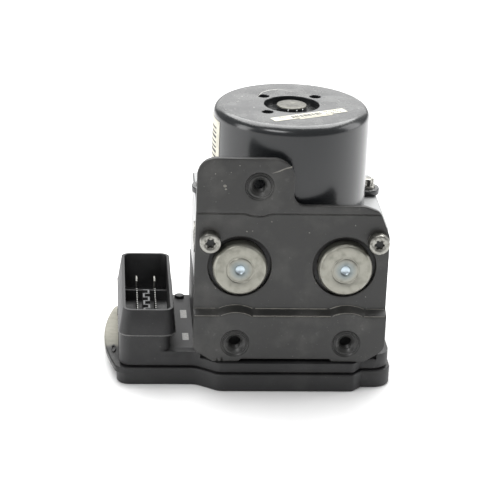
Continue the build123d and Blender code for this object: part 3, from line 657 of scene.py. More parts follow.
@dataclass(frozen=True)
class PaintedCan:
    """Black cathodic dip paint on deep-drawn steel: smooth and a little glossy, with fine dust on top."""

    colour: str = "#1d1f21"
    dust: str = "#a9aaa6"

    def build(self) -> bpy.types.Material:
        """The node material."""
        finish = Finish(
            "drawn_steel_black_dip_paint", self.colour, 0.24, coat_weight=0.3, coat_roughness=0.16
        )
        normal = finish.add("ShaderNodeNewGeometry").outputs["Normal"]
        split = finish.add("ShaderNodeSeparateXYZ", {0: normal})
        facing_up = finish.ramp(split.outputs["Z"], 0.55, 0.98)
        blotch = finish.ramp(finish.noise(9, 5), 0.38, 0.72)
        grains = finish.ramp(finish.noise(0.55, 2, seed=3), 0.64, 0.75)
        cover = finish.math("ADD", finish.math("MULTIPLY", blotch, 0.12), 0.03)
        film = finish.math("MULTIPLY", facing_up, cover)
        specks = finish.math("MULTIPLY", facing_up, grains)
        finish.tint(film, self.dust)
        finish.tint(specks, "#d8d7d0", 0.5)
        finish.roughen(film, 0.35)
        finish.raise_by(finish.noise(0.8, 3, seed=2), 0.004)
        return finish.done()


@dataclass(frozen=True)
class PowderCoat:
    """Black powder coat on stamped steel: satin, faint orange peel, handling dust and rubbed spots."""

    colour: str = "#2a2a29"
    dust: str = "#6b6a67"

    def build(self) -> bpy.types.Material:
        """The node material."""
        finish = Finish("stamped_steel_black_powder_coat", self.colour, 0.36, specular=0.5)
        blotch = finish.ramp(finish.noise(16, 6), 0.45, 0.78)
        rubbed = finish.ramp(finish.noise(3.2, 4, seed=5), 0.62, 0.78)
        specks = finish.ramp(finish.noise(0.9, 2, seed=8), 0.7, 0.78)
        finish.tint(blotch, self.dust, 0.28)
        finish.tint(finish.math("MULTIPLY", rubbed, blotch), "#8d8c8a", 0.35)
        finish.tint(specks, "#a8a6a0", 0.25)
        finish.roughen(blotch, 0.14)
        finish.raise_by(finish.noise(1.1, 2, seed=1), 0.006)
        return finish.done()


@dataclass(frozen=True)
class MilledAluminium:
    """Extruded and face-milled aluminium: bright, with fine straight cutter lines and small scuffs."""

    colour: str = "#a2a3a3"

    def build(self) -> bpy.types.Material:
        """The node material."""
        finish = Finish("face_milled_aluminium", self.colour, 0.33, 1.0)
        lines = finish.noise(0.35, 2, stretch=(1, 0.04, 1))
        stain = finish.ramp(finish.noise(7, 4, seed=4), 0.5, 0.8)
        finish.tint(stain, "#7d7c76", 0.4)
        finish.roughen(lines, 0.12)
        finish.roughen(stain, 0.15)
        finish.raise_by(lines, 0.006)
        return finish.done()


@dataclass(frozen=True)
class TurnedZinc:
    """Zinc plate over turned steel: warm grey, with lathe rings round the piece's own axis, and a painted
    highlight in the centre dimple.
    """

    name: str
    centre: Point3
    colour: str = "#97968d"
    ring_mm: float = 0.28

    def build(self) -> bpy.types.Material:
        """The node material."""
        finish = Finish(self.name, self.colour, 0.36, 0.92)
        away = finish.add("ShaderNodeVectorMath", {0: finish.place, 1: self.centre}, operation="SUBTRACT")
        flat = finish.add("ShaderNodeVectorMath", {0: away.outputs[0], 1: (1, 0, 1)}, operation="MULTIPLY")
        radius = finish.add("ShaderNodeVectorMath", {0: flat.outputs[0]}, operation="LENGTH").outputs["Value"]
        along = finish.add("ShaderNodeCombineXYZ", {"X": radius}).outputs[0]
        links = {"Vector": along, "Scale": 1 / (self.ring_mm * MM), "Detail": 2.0}
        rings = finish.add("ShaderNodeTexNoise", links)
        cloud = finish.ramp(finish.noise(3.5, 4, seed=2), 0.42, 0.75)
        finish.tint(cloud, "#73726a", 0.45)
        centre_stain = finish.ramp(radius, 6.6 * MM, 2.4 * MM)
        finish.tint(centre_stain, "#74848c", 0.6)
        # painted highlight: a pale bluish-white disc in the centre dimple stands in for its glint
        finish.tint(finish.ramp(radius, 2.5 * MM, 2.1 * MM), "#c3d0d8")
        finish.roughen(cloud, 0.16)
        finish.raise_by(rings.outputs["Fac"], 0.012)
        return finish.done()


@dataclass(frozen=True)
class PlatedSteel:
    """Zinc-nickel plate on a cold-headed screw: bright grey with dull patches."""

    name: str = "zinc_nickel_plated_screw"
    colour: str = "#9c9b95"

    def build(self) -> bpy.types.Material:
        """The node material."""
        finish = Finish(self.name, self.colour, 0.3, 1.0)
        patch = finish.ramp(finish.noise(1.6, 3), 0.45, 0.7)
        finish.tint(patch, "#55534e", 0.6)
        finish.roughen(patch, 0.2)
        finish.raise_by(finish.noise(0.5, 2, seed=1), 0.008)
        return finish.done()


@dataclass(frozen=True)
class MouldedPlastic:
    """Black glass-filled nylon from an eroded mould: matt, with fine grain and greyish wear."""

    name: str = "moulded_glass_filled_nylon"
    colour: str = "#222223"
    wear: str = "#555554"
    roughness: float = 0.5
    grain_mm: float = 0.35

    def build(self) -> bpy.types.Material:
        """The node material."""
        finish = Finish(self.name, self.colour, self.roughness, specular=0.45)
        cloud = finish.ramp(finish.noise(14, 5), 0.42, 0.8)
        specks = finish.ramp(finish.noise(0.8, 2, seed=6), 0.71, 0.78)
        finish.tint(cloud, self.wear, 0.22)
        finish.tint(specks, "#9b9a96", 0.2)
        finish.roughen(cloud, 0.1)
        finish.raise_by(finish.noise(self.grain_mm, 3, seed=2), 0.012)
        return finish.done()


@dataclass(frozen=True)
class PlainFinish:
    """A small or hidden piece's finish: one colour broken by fine noise."""

    name: str
    colour: str
    second: str
    roughness: float
    metallic: float = 0.0
    size_mm: float = 1.5

    def build(self) -> bpy.types.Material:
        """The node material."""
        finish = Finish(self.name, self.colour, self.roughness, self.metallic)
        patch = finish.ramp(finish.noise(self.size_mm, 3), 0.4, 0.7)
        finish.tint(patch, self.second, 0.5)
        finish.roughen(patch, 0.1)
        finish.raise_by(finish.noise(self.size_mm / 2, 2, seed=4), 0.006)
        return finish.done()


@dataclass(frozen=True)
class RimPaintedReflection:
    """Light grey with a satin sheen as a painted reflection of the white surroundings, light at the back and
    darkened towards the front as painted shade.
    """

    colour: str = "#8d8b7f"
    front_shade: str = "#20201f"

    def build(self) -> bpy.types.Material:
        """The node material."""
        finish = Finish("rim_painted_reflection_and_shade", self.colour, 0.42, 0.35)
        along = finish.add("ShaderNodeSeparateXYZ", {0: finish.place}).outputs["Y"]
        cloud = finish.ramp(finish.noise(4, 3), 0.4, 0.75)
        finish.tint(cloud, "#6f6d62", 0.3)
        # painted shade: darker towards the front
        finish.tint(finish.ramp(along, 6 * MM, -16 * MM, 0.0, 0.5), "#4f4e47")
        finish.tint(finish.ramp(along, -13 * MM, -20 * MM), self.front_shade)
        finish.roughen(cloud, 0.1)
        return finish.done()


class Palette:
    """Every finish of the module, built once."""

    def __init__(self) -> None:
        """Builds the finishes."""
        self.can = PaintedCan().build()
        self.powder = PowderCoat().build()
        self.aluminium = MilledAluminium().build()
        self.screw = PlatedSteel().build()
        self.housing = MouldedPlastic().build()
        self.cover = MouldedPlastic("moulded_nylon_cover", "#1f1f20", "#4c4c4b", 0.46).build()
        self.boss = PlainFinish("rubbed_steel_boss", "#66655f", "#4a4945", 0.42, 0.7, 2.0).build()
        # painted shade: the dark inside under the can's holes
        self.dark = PlainFinish("shadowed_can_inside", "#101113", "#1b1b1d", 0.7).build()
        self.film = PlainFinish("printed_cream_film", "#d6d3c4", "#c2bfae", 0.45, 0.0, 4.0).build()
        self.ink = PlainFinish("black_label_ink", "#1d1d1f", "#2c2c2e", 0.5).build()
        self.steel = PlainFinish("ground_bearing_steel", "#c4c5c6", "#a3a4a4", 0.25, 1.0).build()
        self.copper = PlainFinish("enamelled_copper_wire", "#b4693f", "#8f4d2c", 0.35, 1.0, 0.8).build()
        self.bronze = PlainFinish("sintered_bronze", "#b08d4f", "#8d6f3c", 0.5, 1.0, 0.6).build()
        self.ferrite = PlainFinish("sintered_ferrite", "#3a3b3d", "#2c2d2f", 0.65).build()
        self.core = PlainFinish("stamped_lamination_steel", "#7f8184", "#66686b", 0.45, 0.9, 0.7).build()
        self.rubber = PlainFinish("moulded_nitrile_rubber", "#1c1c1d", "#262627", 0.7).build()
        self.board = PlainFinish("solder_masked_board", "#1f5a37", "#184a2c", 0.4).build()
        # rubbed scratch and specks on the bracket, and painted highlights along the joggle's bends
        self.rubbed = PlainFinish("rubbed_coat_and_painted_highlight", "#73716b", "#8d8b84", 0.5, 0.0, 0.8).build()
        self.light_rub = PlainFinish("rubbed_dip_paint", "#9b9b97", "#b9b9b4", 0.4, 0.0, 0.8).build()
        # black of the clip loop, and painted shade in the caps' gaps and the screws' sockets
        self.gap = PlainFinish("black_clip_and_painted_shade", "#141414", "#1c1c1c", 0.45).build()
        # painted highlight on the shroud's lip bead and latch ribs
        self.glossy = PlainFinish("nylon_painted_highlight", "#5e5e5d", "#474746", 0.22).build()
        self.field = PlainFinish("plain_laser_marked_field", "#b9b9b6", "#8f8f8c", 0.5, 0.0, 0.9).build()
        # painted highlight on the connector key wall's edges
        self.edge = PlainFinish("nylon_edge_painted_highlight", "#66676a", "#4d4e50", 0.5, 0.0, 0.8).build()
        # painted shade and painted highlight on the connector pins
        self.pin = PlainFinish("pin_shaft_painted_shade", "#1d1d1c", "#151514", 0.6, 0.0, 0.5).build()
        self.tip = PlainFinish("pin_tip_painted_highlight", "#f4f4f0", "#e2e2de", 0.4, 0.1, 0.5).build()
        self.rim = RimPaintedReflection().build()
        self.tin = PlainFinish("tinned_copper_blade", "#d6d5cf", "#b2b1ab", 0.3, 1.0, 0.8).build()


# ---------------------------------------------------------------- objects
def new_object(name: str, data: bpy.types.ID) -> bpy.types.Object:
    """An object in the scene that holds some data."""
    made = bpy.data.objects.new(name, data)
    bpy.context.scene.collection.objects.link(made)
    return made


def applied(piece: bpy.types.Object) -> bpy.types.Mesh:
    """The mesh that an object's modifiers make of it, which it no longer needs afterwards."""
    graph = bpy.context.evaluated_depsgraph_get()
    result = bpy.data.meshes.new_from_object(piece.evaluated_get(graph))
    piece.modifiers.clear()
    return result


def new_piece(
    name: str, shape: Shape, material: bpy.types.Material,
    place: Matrix | None = None, body: str = MODULE_BODY,
) -> bpy.types.Object:
    """A piece that rides on a body.

    Args:
        name: the piece's name.
        shape: its finished shape.
        material: its finish.
        place: where the shape goes, if not where it was drawn.
        body: the body that it moves with.

    Returns:
        The piece.
    """
    mesh = shape.mesh(name, place)
    piece = new_object(name, mesh)
    mesh.materials.append(material)
    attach(piece, body)
    LOG.info("%s: %d faces", name, len(mesh.polygons))
    return piece


def dress_node(node: str, material: bpy.types.Material) -> None:
    """Gives a frame node a finish."""
    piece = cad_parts[node]
    piece.data.materials.clear()
    piece.data.materials.append(material)
    LOG.info("%s keeps its own shape", node)


def softened_copy(
    node: str, name: str, material: bpy.types.Material, edge_mm: float, segments: int,
) -> bpy.types.Object:
    """A copy of a frame node with its sharp edges rounded, which stands for it.

    Args:
        node: the node.
        name: the new piece's name.
        material: its finish.
        edge_mm: radius of the rounded edges.
        segments: faces across an edge.

    Returns:
        The piece.
    """
    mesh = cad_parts[node].data.copy()
    mesh.name = name
    mesh.materials.clear()
    mesh.materials.append(material)
    with editing(mesh) as work:
        bmesh.ops.remove_doubles(work, verts=work.verts, dist=NODE_DOUBLE)
        bmesh.ops.dissolve_limit(
            work, angle_limit=math.radians(FLAT_DEG), verts=work.verts, edges=work.edges, delimit={"NORMAL"}
        )
    piece = new_object(name, mesh)
    bevel = piece.modifiers.new("edge", "BEVEL")
    bevel.width = edge_mm * MM
    bevel.segments = segments
    bevel.limit_method = "ANGLE"
    bevel.angle_limit = math.radians(BEVEL_DEG)
    bevel.use_clamp_overlap = True
    bevel.harden_normals = False
    piece.data = applied(piece)
    shade(piece.data, COPY_SHARP_DEG)
    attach(piece, MODULE_BODY)
    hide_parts(node)
    LOG.info("%s: %d faces", name, len(piece.data.polygons))
    return piece


# ---------------------------------------------------------------- repeated pieces by geometry nodes
class Scatter:
    """Repeats a small shape on listed places, with Geometry Nodes, as one plain mesh."""

    def __init__(self, name: str) -> None:
        """Starts the node tree.

        Args:
            name: the tree's name.
        """
        self.tree = bpy.data.node_groups.new(name, "GeometryNodeTree")
        add = self.tree.interface.new_socket
        add("Geometry", in_out="INPUT", socket_type="NodeSocketGeometry")
        self.unit = add("Unit piece", in_out="INPUT", socket_type="NodeSocketObject")
        self.spread = add("Turn spread", in_out="INPUT", socket_type="NodeSocketFloat")
        self.finish = add("Finish", in_out="INPUT", socket_type="NodeSocketMaterial")
        add("Geometry", in_out="OUTPUT", socket_type="NodeSocketGeometry")
        nodes = self.tree.nodes
        source = nodes.new("NodeGroupInput").outputs
        unit = nodes.new("GeometryNodeObjectInfo")
        random = nodes.new("FunctionNodeRandomValue")
        random.data_type = "FLOAT_VECTOR"
        spin = nodes.new("ShaderNodeVectorMath")
        spin.operation = "SCALE"
        onto = nodes.new("GeometryNodeInstanceOnPoints")
        real = nodes.new("GeometryNodeRealizeInstances")
        dress = nodes.new("GeometryNodeSetMaterial")
        sink = nodes.new("NodeGroupOutput")
        for socket, value in (("Seed", SCATTER_SEED), ("Min", (0, 0, -math.pi)), ("Max", (0, 0, math.pi))):
            random.inputs[socket].default_value = value
        for start, end in (
            (source["Unit piece"], unit.inputs["Object"]),
            (random.outputs["Value"], spin.inputs[0]),
            (source["Turn spread"], spin.inputs["Scale"]),
            (source["Geometry"], onto.inputs["Points"]),
            (unit.outputs["Geometry"], onto.inputs["Instance"]),
            (spin.outputs[0], onto.inputs["Rotation"]),
            (onto.outputs["Instances"], real.inputs["Geometry"]),
            (real.outputs["Geometry"], dress.inputs["Geometry"]),
            (source["Finish"], dress.inputs["Material"]),
            (dress.outputs["Geometry"], sink.inputs["Geometry"]),
        ):
            self.tree.links.new(start, end)

    def run(
        self, name: str, shape: Shape, places: Sequence[Point3], material: bpy.types.Material,
        spread: float = 0.0, turn: Matrix | None = None,
    ) -> bpy.types.Object:
        """Repeats a shape on its places.

        Args:
            name: the piece's name.
            shape: what is repeated, drawn about the origin.
            places: where the copies go.
            material: their finish.
            spread: how far each copy is turned at random, from 0 to 1.
            turn: a turn that all copies share.

        Returns:
            The piece.
        """
        seed = new_object(name + "_unit", shape.mesh(name + "_unit", turn))
        points = bpy.data.meshes.new(name + "_places")
        points.from_pydata(places, [], [])
        piece = new_object(name, points)
        modifier = piece.modifiers.new("repeat", "NODES")
        modifier.node_group = self.tree
        modifier[self.unit.identifier] = seed
        modifier[self.spread.identifier] = spread
        modifier[self.finish.identifier] = material
        piece.data = applied(piece)
        bpy.data.objects.remove(seed)
        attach(piece, MODULE_BODY)
        LOG.info("%s: %d copies", name, len(places))
        return piece


# ---------------------------------------------------------------- the motor
@dataclass
class Motor:
    """The pump motor's can with its boss, holes, ears, screws and labels."""

    palette: Palette
    scatter: Scatter
    radius: float = 40.8 * MM
    shoulder: float = 5.0 * MM
    recess_radius: float = 14.4 * MM
    recess_depth: float = 4.5 * MM
    boss_radius: float = 7.9 * MM
    hole_radius: float = 2.9 * MM
    hole_circle: float = 19.3 * MM
    hole_angles: tuple[float, ...] = (45.0, 135.0, 225.0)
    hole_depth: float = 1.7 * MM
    lip: float = 0.5 * MM
    boss_drop: float = 0.9 * MM
    well_depth: float = 3.0 * MM
    mark_circle: float = 28.0           # radius of the rub mark's arc, in millimetres
    mark_lift: float = 0.02 * MM
    rib_angles: tuple[float, ...] = (62.0, 84.0, 108.0, 252.0, 284.0, 310.0)
    label_place: Point2 = mm(7.4, -18.4)
    label_turn: float = 25.0
    label_film: float = 0.16 * MM
    wrap_span: Point2 = (128.0, 201.0)  # where the side label ends, in degrees
    wrap_back: float = 0.02 * MM        # how far its back, face and ink stand out from the can
    wrap_face: float = 0.18 * MM
    wrap_ink: float = 0.21 * MM
    bar_end: float = 195.0              # where its bars end, in degrees
    bar_pitch: float = 2.6 * MM
    ear_radius: float = 6.6 * MM
    ear_thickness: float = 3.0 * MM
    ear_places: tuple[Point2, ...] = (mm(-43.8, 12.0), mm(43.8, 12.0))
    low: float = field(init=False)
    high: float = field(init=False)

    def __post_init__(self) -> None:
        """Reads the can's foot and top from the frame."""
        low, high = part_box("motor_can")
        self.low, self.high = low.z, high.z

    def build(self) -> None:
        """Makes every piece of the motor that shows."""
        self.make_can()
        self.make_boss()
        self.make_screws()
        self.make_top_label()
        self.make_side_label()
        self.make_marks()

    def make_marks(self) -> None:
        """A curved rub mark and light specks on the can's top."""
        arc = [(-17.0, 12.0), (-14.1, 19.7), (-10.6, 23.4), (-6.2, 25.4), (-2.0, 24.7), (2.0, 20.6)]
        widths = (0.1, 0.35, 0.5, 0.45, 0.35, 0.1)
        outer, inner = (
            [mm(*(v * (1 + side * w / self.mark_circle) for v in point)) for point, w in zip(arc, widths)]
            for side in (1, -1)
        )
        specks = [
            (-27.9, 3.1, 0.4), (-25.2, 12.0, 0.55), (-20.2, -6.9, 0.4), (-16.7, -21.9, 0.35),
            (-27.0, 8.5, 0.3), (-30.3, -9.8, 0.25), (14.1, 27.2, 0.3), (25.4, 6.4, 0.3),
            (-8.2, -27.6, 0.3), (-23.0, -14.4, 0.25),
        ]
        shape = Shape()
        for plate in (outer + inner[::-1], *[speck(*values, 4) for values in specks]):
            shape.plate(plate, self.high - self.mark_lift, self.high + self.mark_lift)
        new_piece("motor_top_rub_marks", shape, self.palette.light_rub)

    def make_can(self) -> None:
        """The can: a turned shell with a pierced top, dark discs of painted shade under its holes, and two
        ears.
        """
        shape = Shape()
        top, flat_edge, wide = self.high, self.radius - self.shoulder, self.hole_radius + self.lip
        spot = self.hole_circle
        holes = [
            circle_outline(wide, (spot * math.cos(angle), spot * math.sin(angle)), HOLE_SIDES)
            for angle in map(math.radians, self.hole_angles)
        ]
        rim = circle_outline(self.recess_radius + self.lip, segments=CAN_SIDES)
        shape.field(circle_outline(flat_edge, segments=CAN_SIDES), [rim, *holes], [], top)
        for outline in holes:
            wall = [*self.lip_wall(self.hole_radius), (self.hole_radius, top - self.hole_depth)]
            shape.lathe(wall[::-1], middle_of(outline), HOLE_SIDES)
        outer = [(self.radius, self.low)]
        for turn in quarter_turn(SHOULDER_STEPS):
            radius = flat_edge + self.shoulder * math.cos(turn)
            outer.append((radius, top - self.shoulder + self.shoulder * math.sin(turn)))
        shape.lathe(outer, segments=CAN_SIDES)
        floor = top - self.recess_depth
        wall = [
            *self.lip_wall(self.recess_radius), (self.recess_radius, floor + self.lip),
            (self.recess_radius - self.lip, floor), (self.boss_radius + self.lip, floor),
            (self.boss_radius, floor + self.lip), (self.boss_radius, top - self.boss_drop),
        ]
        shape.lathe(wall[::-1], segments=CAN_SIDES)
        body = new_piece("motor_can_shell", shape, self.palette.can)
        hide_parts("motor_can")
        # painted shade: dark closed wells under the holes stand in for the shade inside the can
        inner = Shape()
        well, foot = self.hole_radius + 0.1 * MM, top - self.well_depth
        for outline in holes:
            for profile in ([(well, foot), (well, top - self.hole_depth)], [(0.0, foot), (well, foot)]):
                inner.lathe(profile, middle_of(outline), HOLE_SIDES)
        new_piece("motor_hole_wells", inner, self.palette.dark)
        round_end, root = self.ear_radius * 0.98, self.ear_radius + 8 * MM
        for index, (x, y) in enumerate(self.ear_places):
            side = math.copysign(1, x)
            ear = Shape()
            outline = rounded_outline([
                (-self.ear_radius, -self.ear_radius, round_end), (root, -self.ear_radius - 2 * MM, 0),
                (root, self.ear_radius + 2 * MM, 0), (-self.ear_radius, self.ear_radius, round_end),
            ])
            placed = [(x - side * px, y - side * py) for px, py in outline]
            ear.prism(placed, self.low, self.low + self.ear_thickness, 0.2 * MM, 0.6 * MM)
            new_piece(f"motor_ear_{index + 1}", ear, self.palette.can)

    def lip_wall(self, radius: float) -> list[Point2]:
        """Radius and height round a pierced lip, from the flat down to the wall."""
        return [
            (radius + self.lip - self.lip * math.sin(turn), self.high - self.lip * (1 - math.cos(turn)))
            for turn in quarter_turn(RIM_STEPS)
        ]

    def make_boss(self) -> None:
        """The boss that holds the bush: rubbed bright on top, with six pressed ribs round its side in bright
        steel as painted highlights.
        """
        top = self.high
        shape = Shape()
        radius = self.boss_radius
        shape.lathe([
            (radius, top - self.boss_drop), (radius, top - 0.7 * MM), (radius - 0.2 * MM, top - 0.25 * MM),
            (radius - 0.7 * MM, top), (2.6 * MM, top), (2.3 * MM, top - 0.15 * MM), (0.0, top - 0.15 * MM),
        ], segments=96)
        new_piece("motor_boss_cap", shape, self.palette.boss)
        rib = Shape()
        for angle in map(math.radians, self.rib_angles):
            x, y = (radius + 0.1 * MM) * math.cos(angle), (radius + 0.1 * MM) * math.sin(angle)
            rib.lathe([
                (0.42 * MM, top - 4.3 * MM), (0.42 * MM, top - 1.0 * MM), (0.2 * MM, top - 0.8 * MM),
                (0.0, top - 0.75 * MM),
            ], (x, y), 10)
        # painted highlight: the ribs take bright steel to stand in for their glints
        new_piece("motor_boss_ribs", rib, self.palette.steel)

    def make_screws(self) -> None:
        """Two flange screws with an outer six-lobed drive."""
        shape = Shape()
        shape.lathe([mm(4.4, 0.0), mm(4.4, 0.7), mm(4.0, 1.2), mm(3.0, 1.5)], segments=40)
        shape.prism(lobed_outline(3.15, 0.45), 1.2 * MM, 5.0 * MM, 0.0, 0.4 * MM, steps=2)
        seat = self.low + self.ear_thickness
        places = [(x, y, seat) for x, y in self.ear_places]
        piece = self.scatter.run("motor_flange_screws", shape, places, self.palette.screw, 0.1)
        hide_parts("motor_screws")

    def make_top_label(self) -> None:
        """A strip of cream film with plain bars and ticks, and a thin strip below it."""
        level = self.high + self.label_film
        turn = Matrix.Rotation(math.radians(self.label_turn), 4, "Z")
        place = Matrix.Translation((*self.label_place, 0)) @ turn
        film = Shape()
        for outline in (
            rounded_rectangle(*mm(-21.5, 21.5, -2.9, 2.9, 0.5)), rectangle(*mm(-8, 11.5, -4.6, -3.5)),
        ):
            film.prism(outline, self.high, level, 0.0, 0.05 * MM, steps=1)
        piece = new_piece("top_label_film", film, self.palette.film, place)
        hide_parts("top_label")
        gaps = (1.3, 0.8, 1.1, 0.8, 1.0, 1.3, 0.8, 1.2, 0.8, 1.0, 1.0, 0.8, 1.2, 0.9, 1.3, 0.8, 0.9, 1.1)
        bars = [(along, -0.3) for along in accumulate(gaps, initial=-11.5)][1:]
        ticks = [(x, y) for x in (9.6, 10.9, 12.4, 13.6, 15.2, 16.4, 17.8) for y in (-1.3, 1.2)]
        ticks += [(x, 1.3) for x in (-16.5, -15.0, -13.6)]
        for name, wide, high, spots in (
            ("top_label_bars", 0.3, 1.7, bars), ("top_label_ticks", 0.42, 0.5, ticks),
        ):
            unit = Shape()
            unit.prism(rectangle(*mm(-wide, wide, -high, high)), 0.0, 0.03 * MM)
            places = [tuple(place @ Vector((x * MM, y * MM, level))) for x, y in spots]
            self.scatter.run(name, unit, places, self.palette.ink, turn=turn)

    def make_side_label(self) -> None:
        """A cream sticker wrapped round the can's left side, with a row of plain bars."""
        low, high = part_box("side_label")
        face, ink = self.radius + self.wrap_face, self.radius + self.wrap_ink
        film = self.wrapped(self.radius + self.wrap_back, face, self.wrap_span, (low.z, high.z), 48)
        piece = new_piece("side_label_film", film, self.palette.film)
        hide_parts("side_label")
        bars = Shape()
        level = low.z + 2.5 * MM
        for index, length in enumerate((7, 12, 5, 9, 12, 6, 10, 8, 12, 7, 11, 5)):
            top = level + (0.9 if index % 3 else 1.4) * MM
            bars.join(self.wrapped(face, ink, (190 - length * 1.4, self.bar_end), (level, top), 8))
            level += self.bar_pitch
        new_piece("side_label_bars", bars, self.palette.ink)

    def wrapped(self, inner: float, outer: float, span: Point2, levels: Point2, steps: int) -> Shape:
        """A thin curved plate round the can.

        Args:
            inner: its inner radius.
            outer: its outer radius.
            span: angles of its two ends, in degrees.
            levels: its lower and upper edge.
            steps: faces along it.

        Returns:
            The plate.
        """
        start, end = map(math.radians, span)
        shape = Shape()
        turns = [start + (end - start) * step / steps for step in range(steps + 1)]
        shape.ribbon(arc_band(inner, outer, turns), *levels)
        return shape


# ---------------------------------------------------------------- the bracket
@dataclass
class Bracket:
    """The stamped bracket with its three clinch nuts, two screws and two accumulator caps."""

    palette: Palette
    scatter: Scatter
    sheet: float = 3.0 * MM
    edge: float = 0.45 * MM
    upper_step: float = 1.5 * MM
    lower_step: float = 5.0 * MM
    lower_bend: float = 2.5 * MM
    upper_bend: float = 1.6 * MM
    joggle_level: float = 44.2 * MM     # where the two straight bends begin
    tab_level: float = 95.6 * MM
    pad_radius: float = 17.3 * MM
    pad_flat: float = 16.0 * MM         # rows go on this near to a foot nut
    foot_rows: float = 40.8 * MM        # and above this over the foot nuts
    tab_rows: Point2 = mm(98.2, 99.5)   # rows that the tab nut's pad leaves out
    spacing: float = 0.9 * MM           # between points of the outline
    clear: float = 0.9 * MM             # between such a point and a hole
    ring_sides: int = 84
    cap_hole_radius: float = 16.3 * MM
    screw_hole: float = 3.3 * MM
    cap_places: tuple[Point2, ...] = (mm(-27.55, 67.3), mm(26.55, 67.3))
    screw_places: tuple[Point2, ...] = (mm(-43.2, 81.8), mm(43.2, 81.8))
    foot_nuts: tuple[Point2, ...] = (mm(-28.9, 26.4), mm(28.9, 26.4))
    tab_nut: Point2 = mm(-19.0, 111.5)
    nut_hole: float = 7.25 * MM
    panel: float = field(init=False)

    def __post_init__(self) -> None:
        """Reads the main panel's front from the frame."""
        self.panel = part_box("bracket")[0].y + self.lower_step

    def build(self) -> None:
        """Makes every piece on the bracket."""
        self.make_plate()
        self.make_nuts()
        self.make_screws()
        self.make_caps()
        self.make_gaps()
        self.make_marks()
        self.make_bend_lines()

    def front(self, x: float, z: float) -> float:
        """How far the sheet's front stands out towards -Y at a place."""
        foot = bend_share(self.joggle_level - z, self.lower_bend)
        for nut in self.foot_nuts:
            away = math.dist((x, z), nut)
            foot = max(foot, bend_share(self.pad_radius + self.lower_bend - away, self.lower_bend))
        tab = bend_share(z - self.tab_level, self.upper_bend)
        tab = max(tab, bend_share(self.pad_radius - math.dist((x, z), self.tab_nut), self.upper_bend))
        return -self.panel + foot * self.lower_step + tab * self.upper_step

    def lifted(self, lift: float) -> Level:
        """The sheet's front, moved out by a little, as a function of the place."""
        return lambda x, z: self.front(x, z) + lift

    def outline(self) -> list[Point2]:
        """The blank's outline in X and Z."""
        left, right, bottom, top, tab = -50.75, 49.25, 16.0, 101.2, 126.3
        corners = [
            (left, 22.9, 6), (-40.25, bottom, 4), (-27.0, bottom, 0.6), (-25.5, bottom + 1.5, 0.6),
            (20.5, bottom + 1.5, 0.6), (22.0, bottom, 0.6), (38.75, bottom, 4), (right, 22.9, 6),
            (right, 84.0, 12), (43.6, 98.0, 6), (35.5, top, 8), (-1.3, top, 6),
            (-1.3, tab, 11), (left, tab, 9.5),
        ]
        points = rounded_outline([mm(*corner) for corner in corners], 7.5)
        return self.with_points(points, self.spacing)

    @staticmethod
    def with_points(points: Sequence[Point2], spacing: float) -> list[Point2]:
        """Divides an outline's long sides, so that they can follow a bend."""
        dense: list[Point2] = []
        for index, point in enumerate(points):
            after = points[(index + 1) % len(points)]
            length = math.dist(point, after)
            steps = max(1, round(length / spacing))
            dense += [
                (point[0] + (after[0] - point[0]) * s / steps, point[1] + (after[1] - point[1]) * s / steps)
                for s in range(steps)
            ]
        return dense

    def make_plate(self) -> None:
        """The bent sheet, with rounded blanked edges."""
        outer = self.outline()
        holes = [
            circle_outline(radius, place, sides)
            for (place, radius), sides in zip(self.hole_rings(), (72, 72, 24, 24, 48, 48, 48))
        ]
        inner_outer = inset_outline(outer, self.edge)
        inner_holes = [inset_outline(hole, -self.edge) for hole in holes]
        extra = self.bend_points(inner_outer)
        shape = Shape(Plane.FRONT)
        shape.field(inner_outer, inner_holes, extra, self.front)
        shape.field(inner_outer, inner_holes, extra, self.lifted(-self.sheet), up=False)
        path = rim_path(self.edge, 0.0, -1)
        for loop, sign in [(outer, 1), *[(hole, -1) for hole in holes]]:
            levels = [(inset, self.lifted(drop)) for inset, drop in path]
            levels += [(inset, self.lifted(-self.sheet - drop)) for inset, drop in reversed(path)]
            shape.skin(*[shape.ring(inset_outline(loop, sign * inset), level) for inset, level in levels])
        piece = new_piece("bracket_plate", shape, self.palette.powder)
        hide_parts("bracket")

    def bend_points(self, outer: Sequence[Point2]) -> list[Point2]:
        """Points that let the sheet follow its bends, clear of every edge.

        Args:
            outer: the outline of the sheet's flat front.

        Returns:
            Rows across the sheet, closest at the two straight bends, and rings round the nuts' pads.
        """
        levels = [19, 22, 25, 28, 31, 34, 37, 39.5]
        levels += [41.1, 41.3, 41.5, 41.7, 41.9, 42.1, 42.9, 43.8, 44.0, 44.2, 44.4, 44.6, 44.9]
        levels += [47 + 4 * i for i in range(12)]
        levels += [95.2, 95.35, 95.5, 95.6, 95.7, 95.85, 96.4, 96.95, 97.1, 97.2, 97.3, 97.45, 97.6]
        levels += [100 + 3 * i for i in range(9)]
        rings = self.pad_rings()
        edge = inset_outline(outer, 0.5 * MM)
        places = [
            ((-50 + (column + 0.5 * (row % 2)) * 1.5) * MM, level * MM)
            for row, level in enumerate(levels) for column in range(67)
        ]
        places = [
            place for place in places
            if not any(low < math.dist(place, centre) < high for centre, low, high, _ in rings)
        ]
        for centre, _, _, radii in rings:
            for radius in radii:
                places += circle_outline(radius, centre, self.ring_sides)
        return [
            place for place in places
            if self.wants_point(place) and inside(place, edge) and not any(
                math.dist(place, centre) < radius + self.clear for centre, radius in self.hole_rings()
            )
        ]

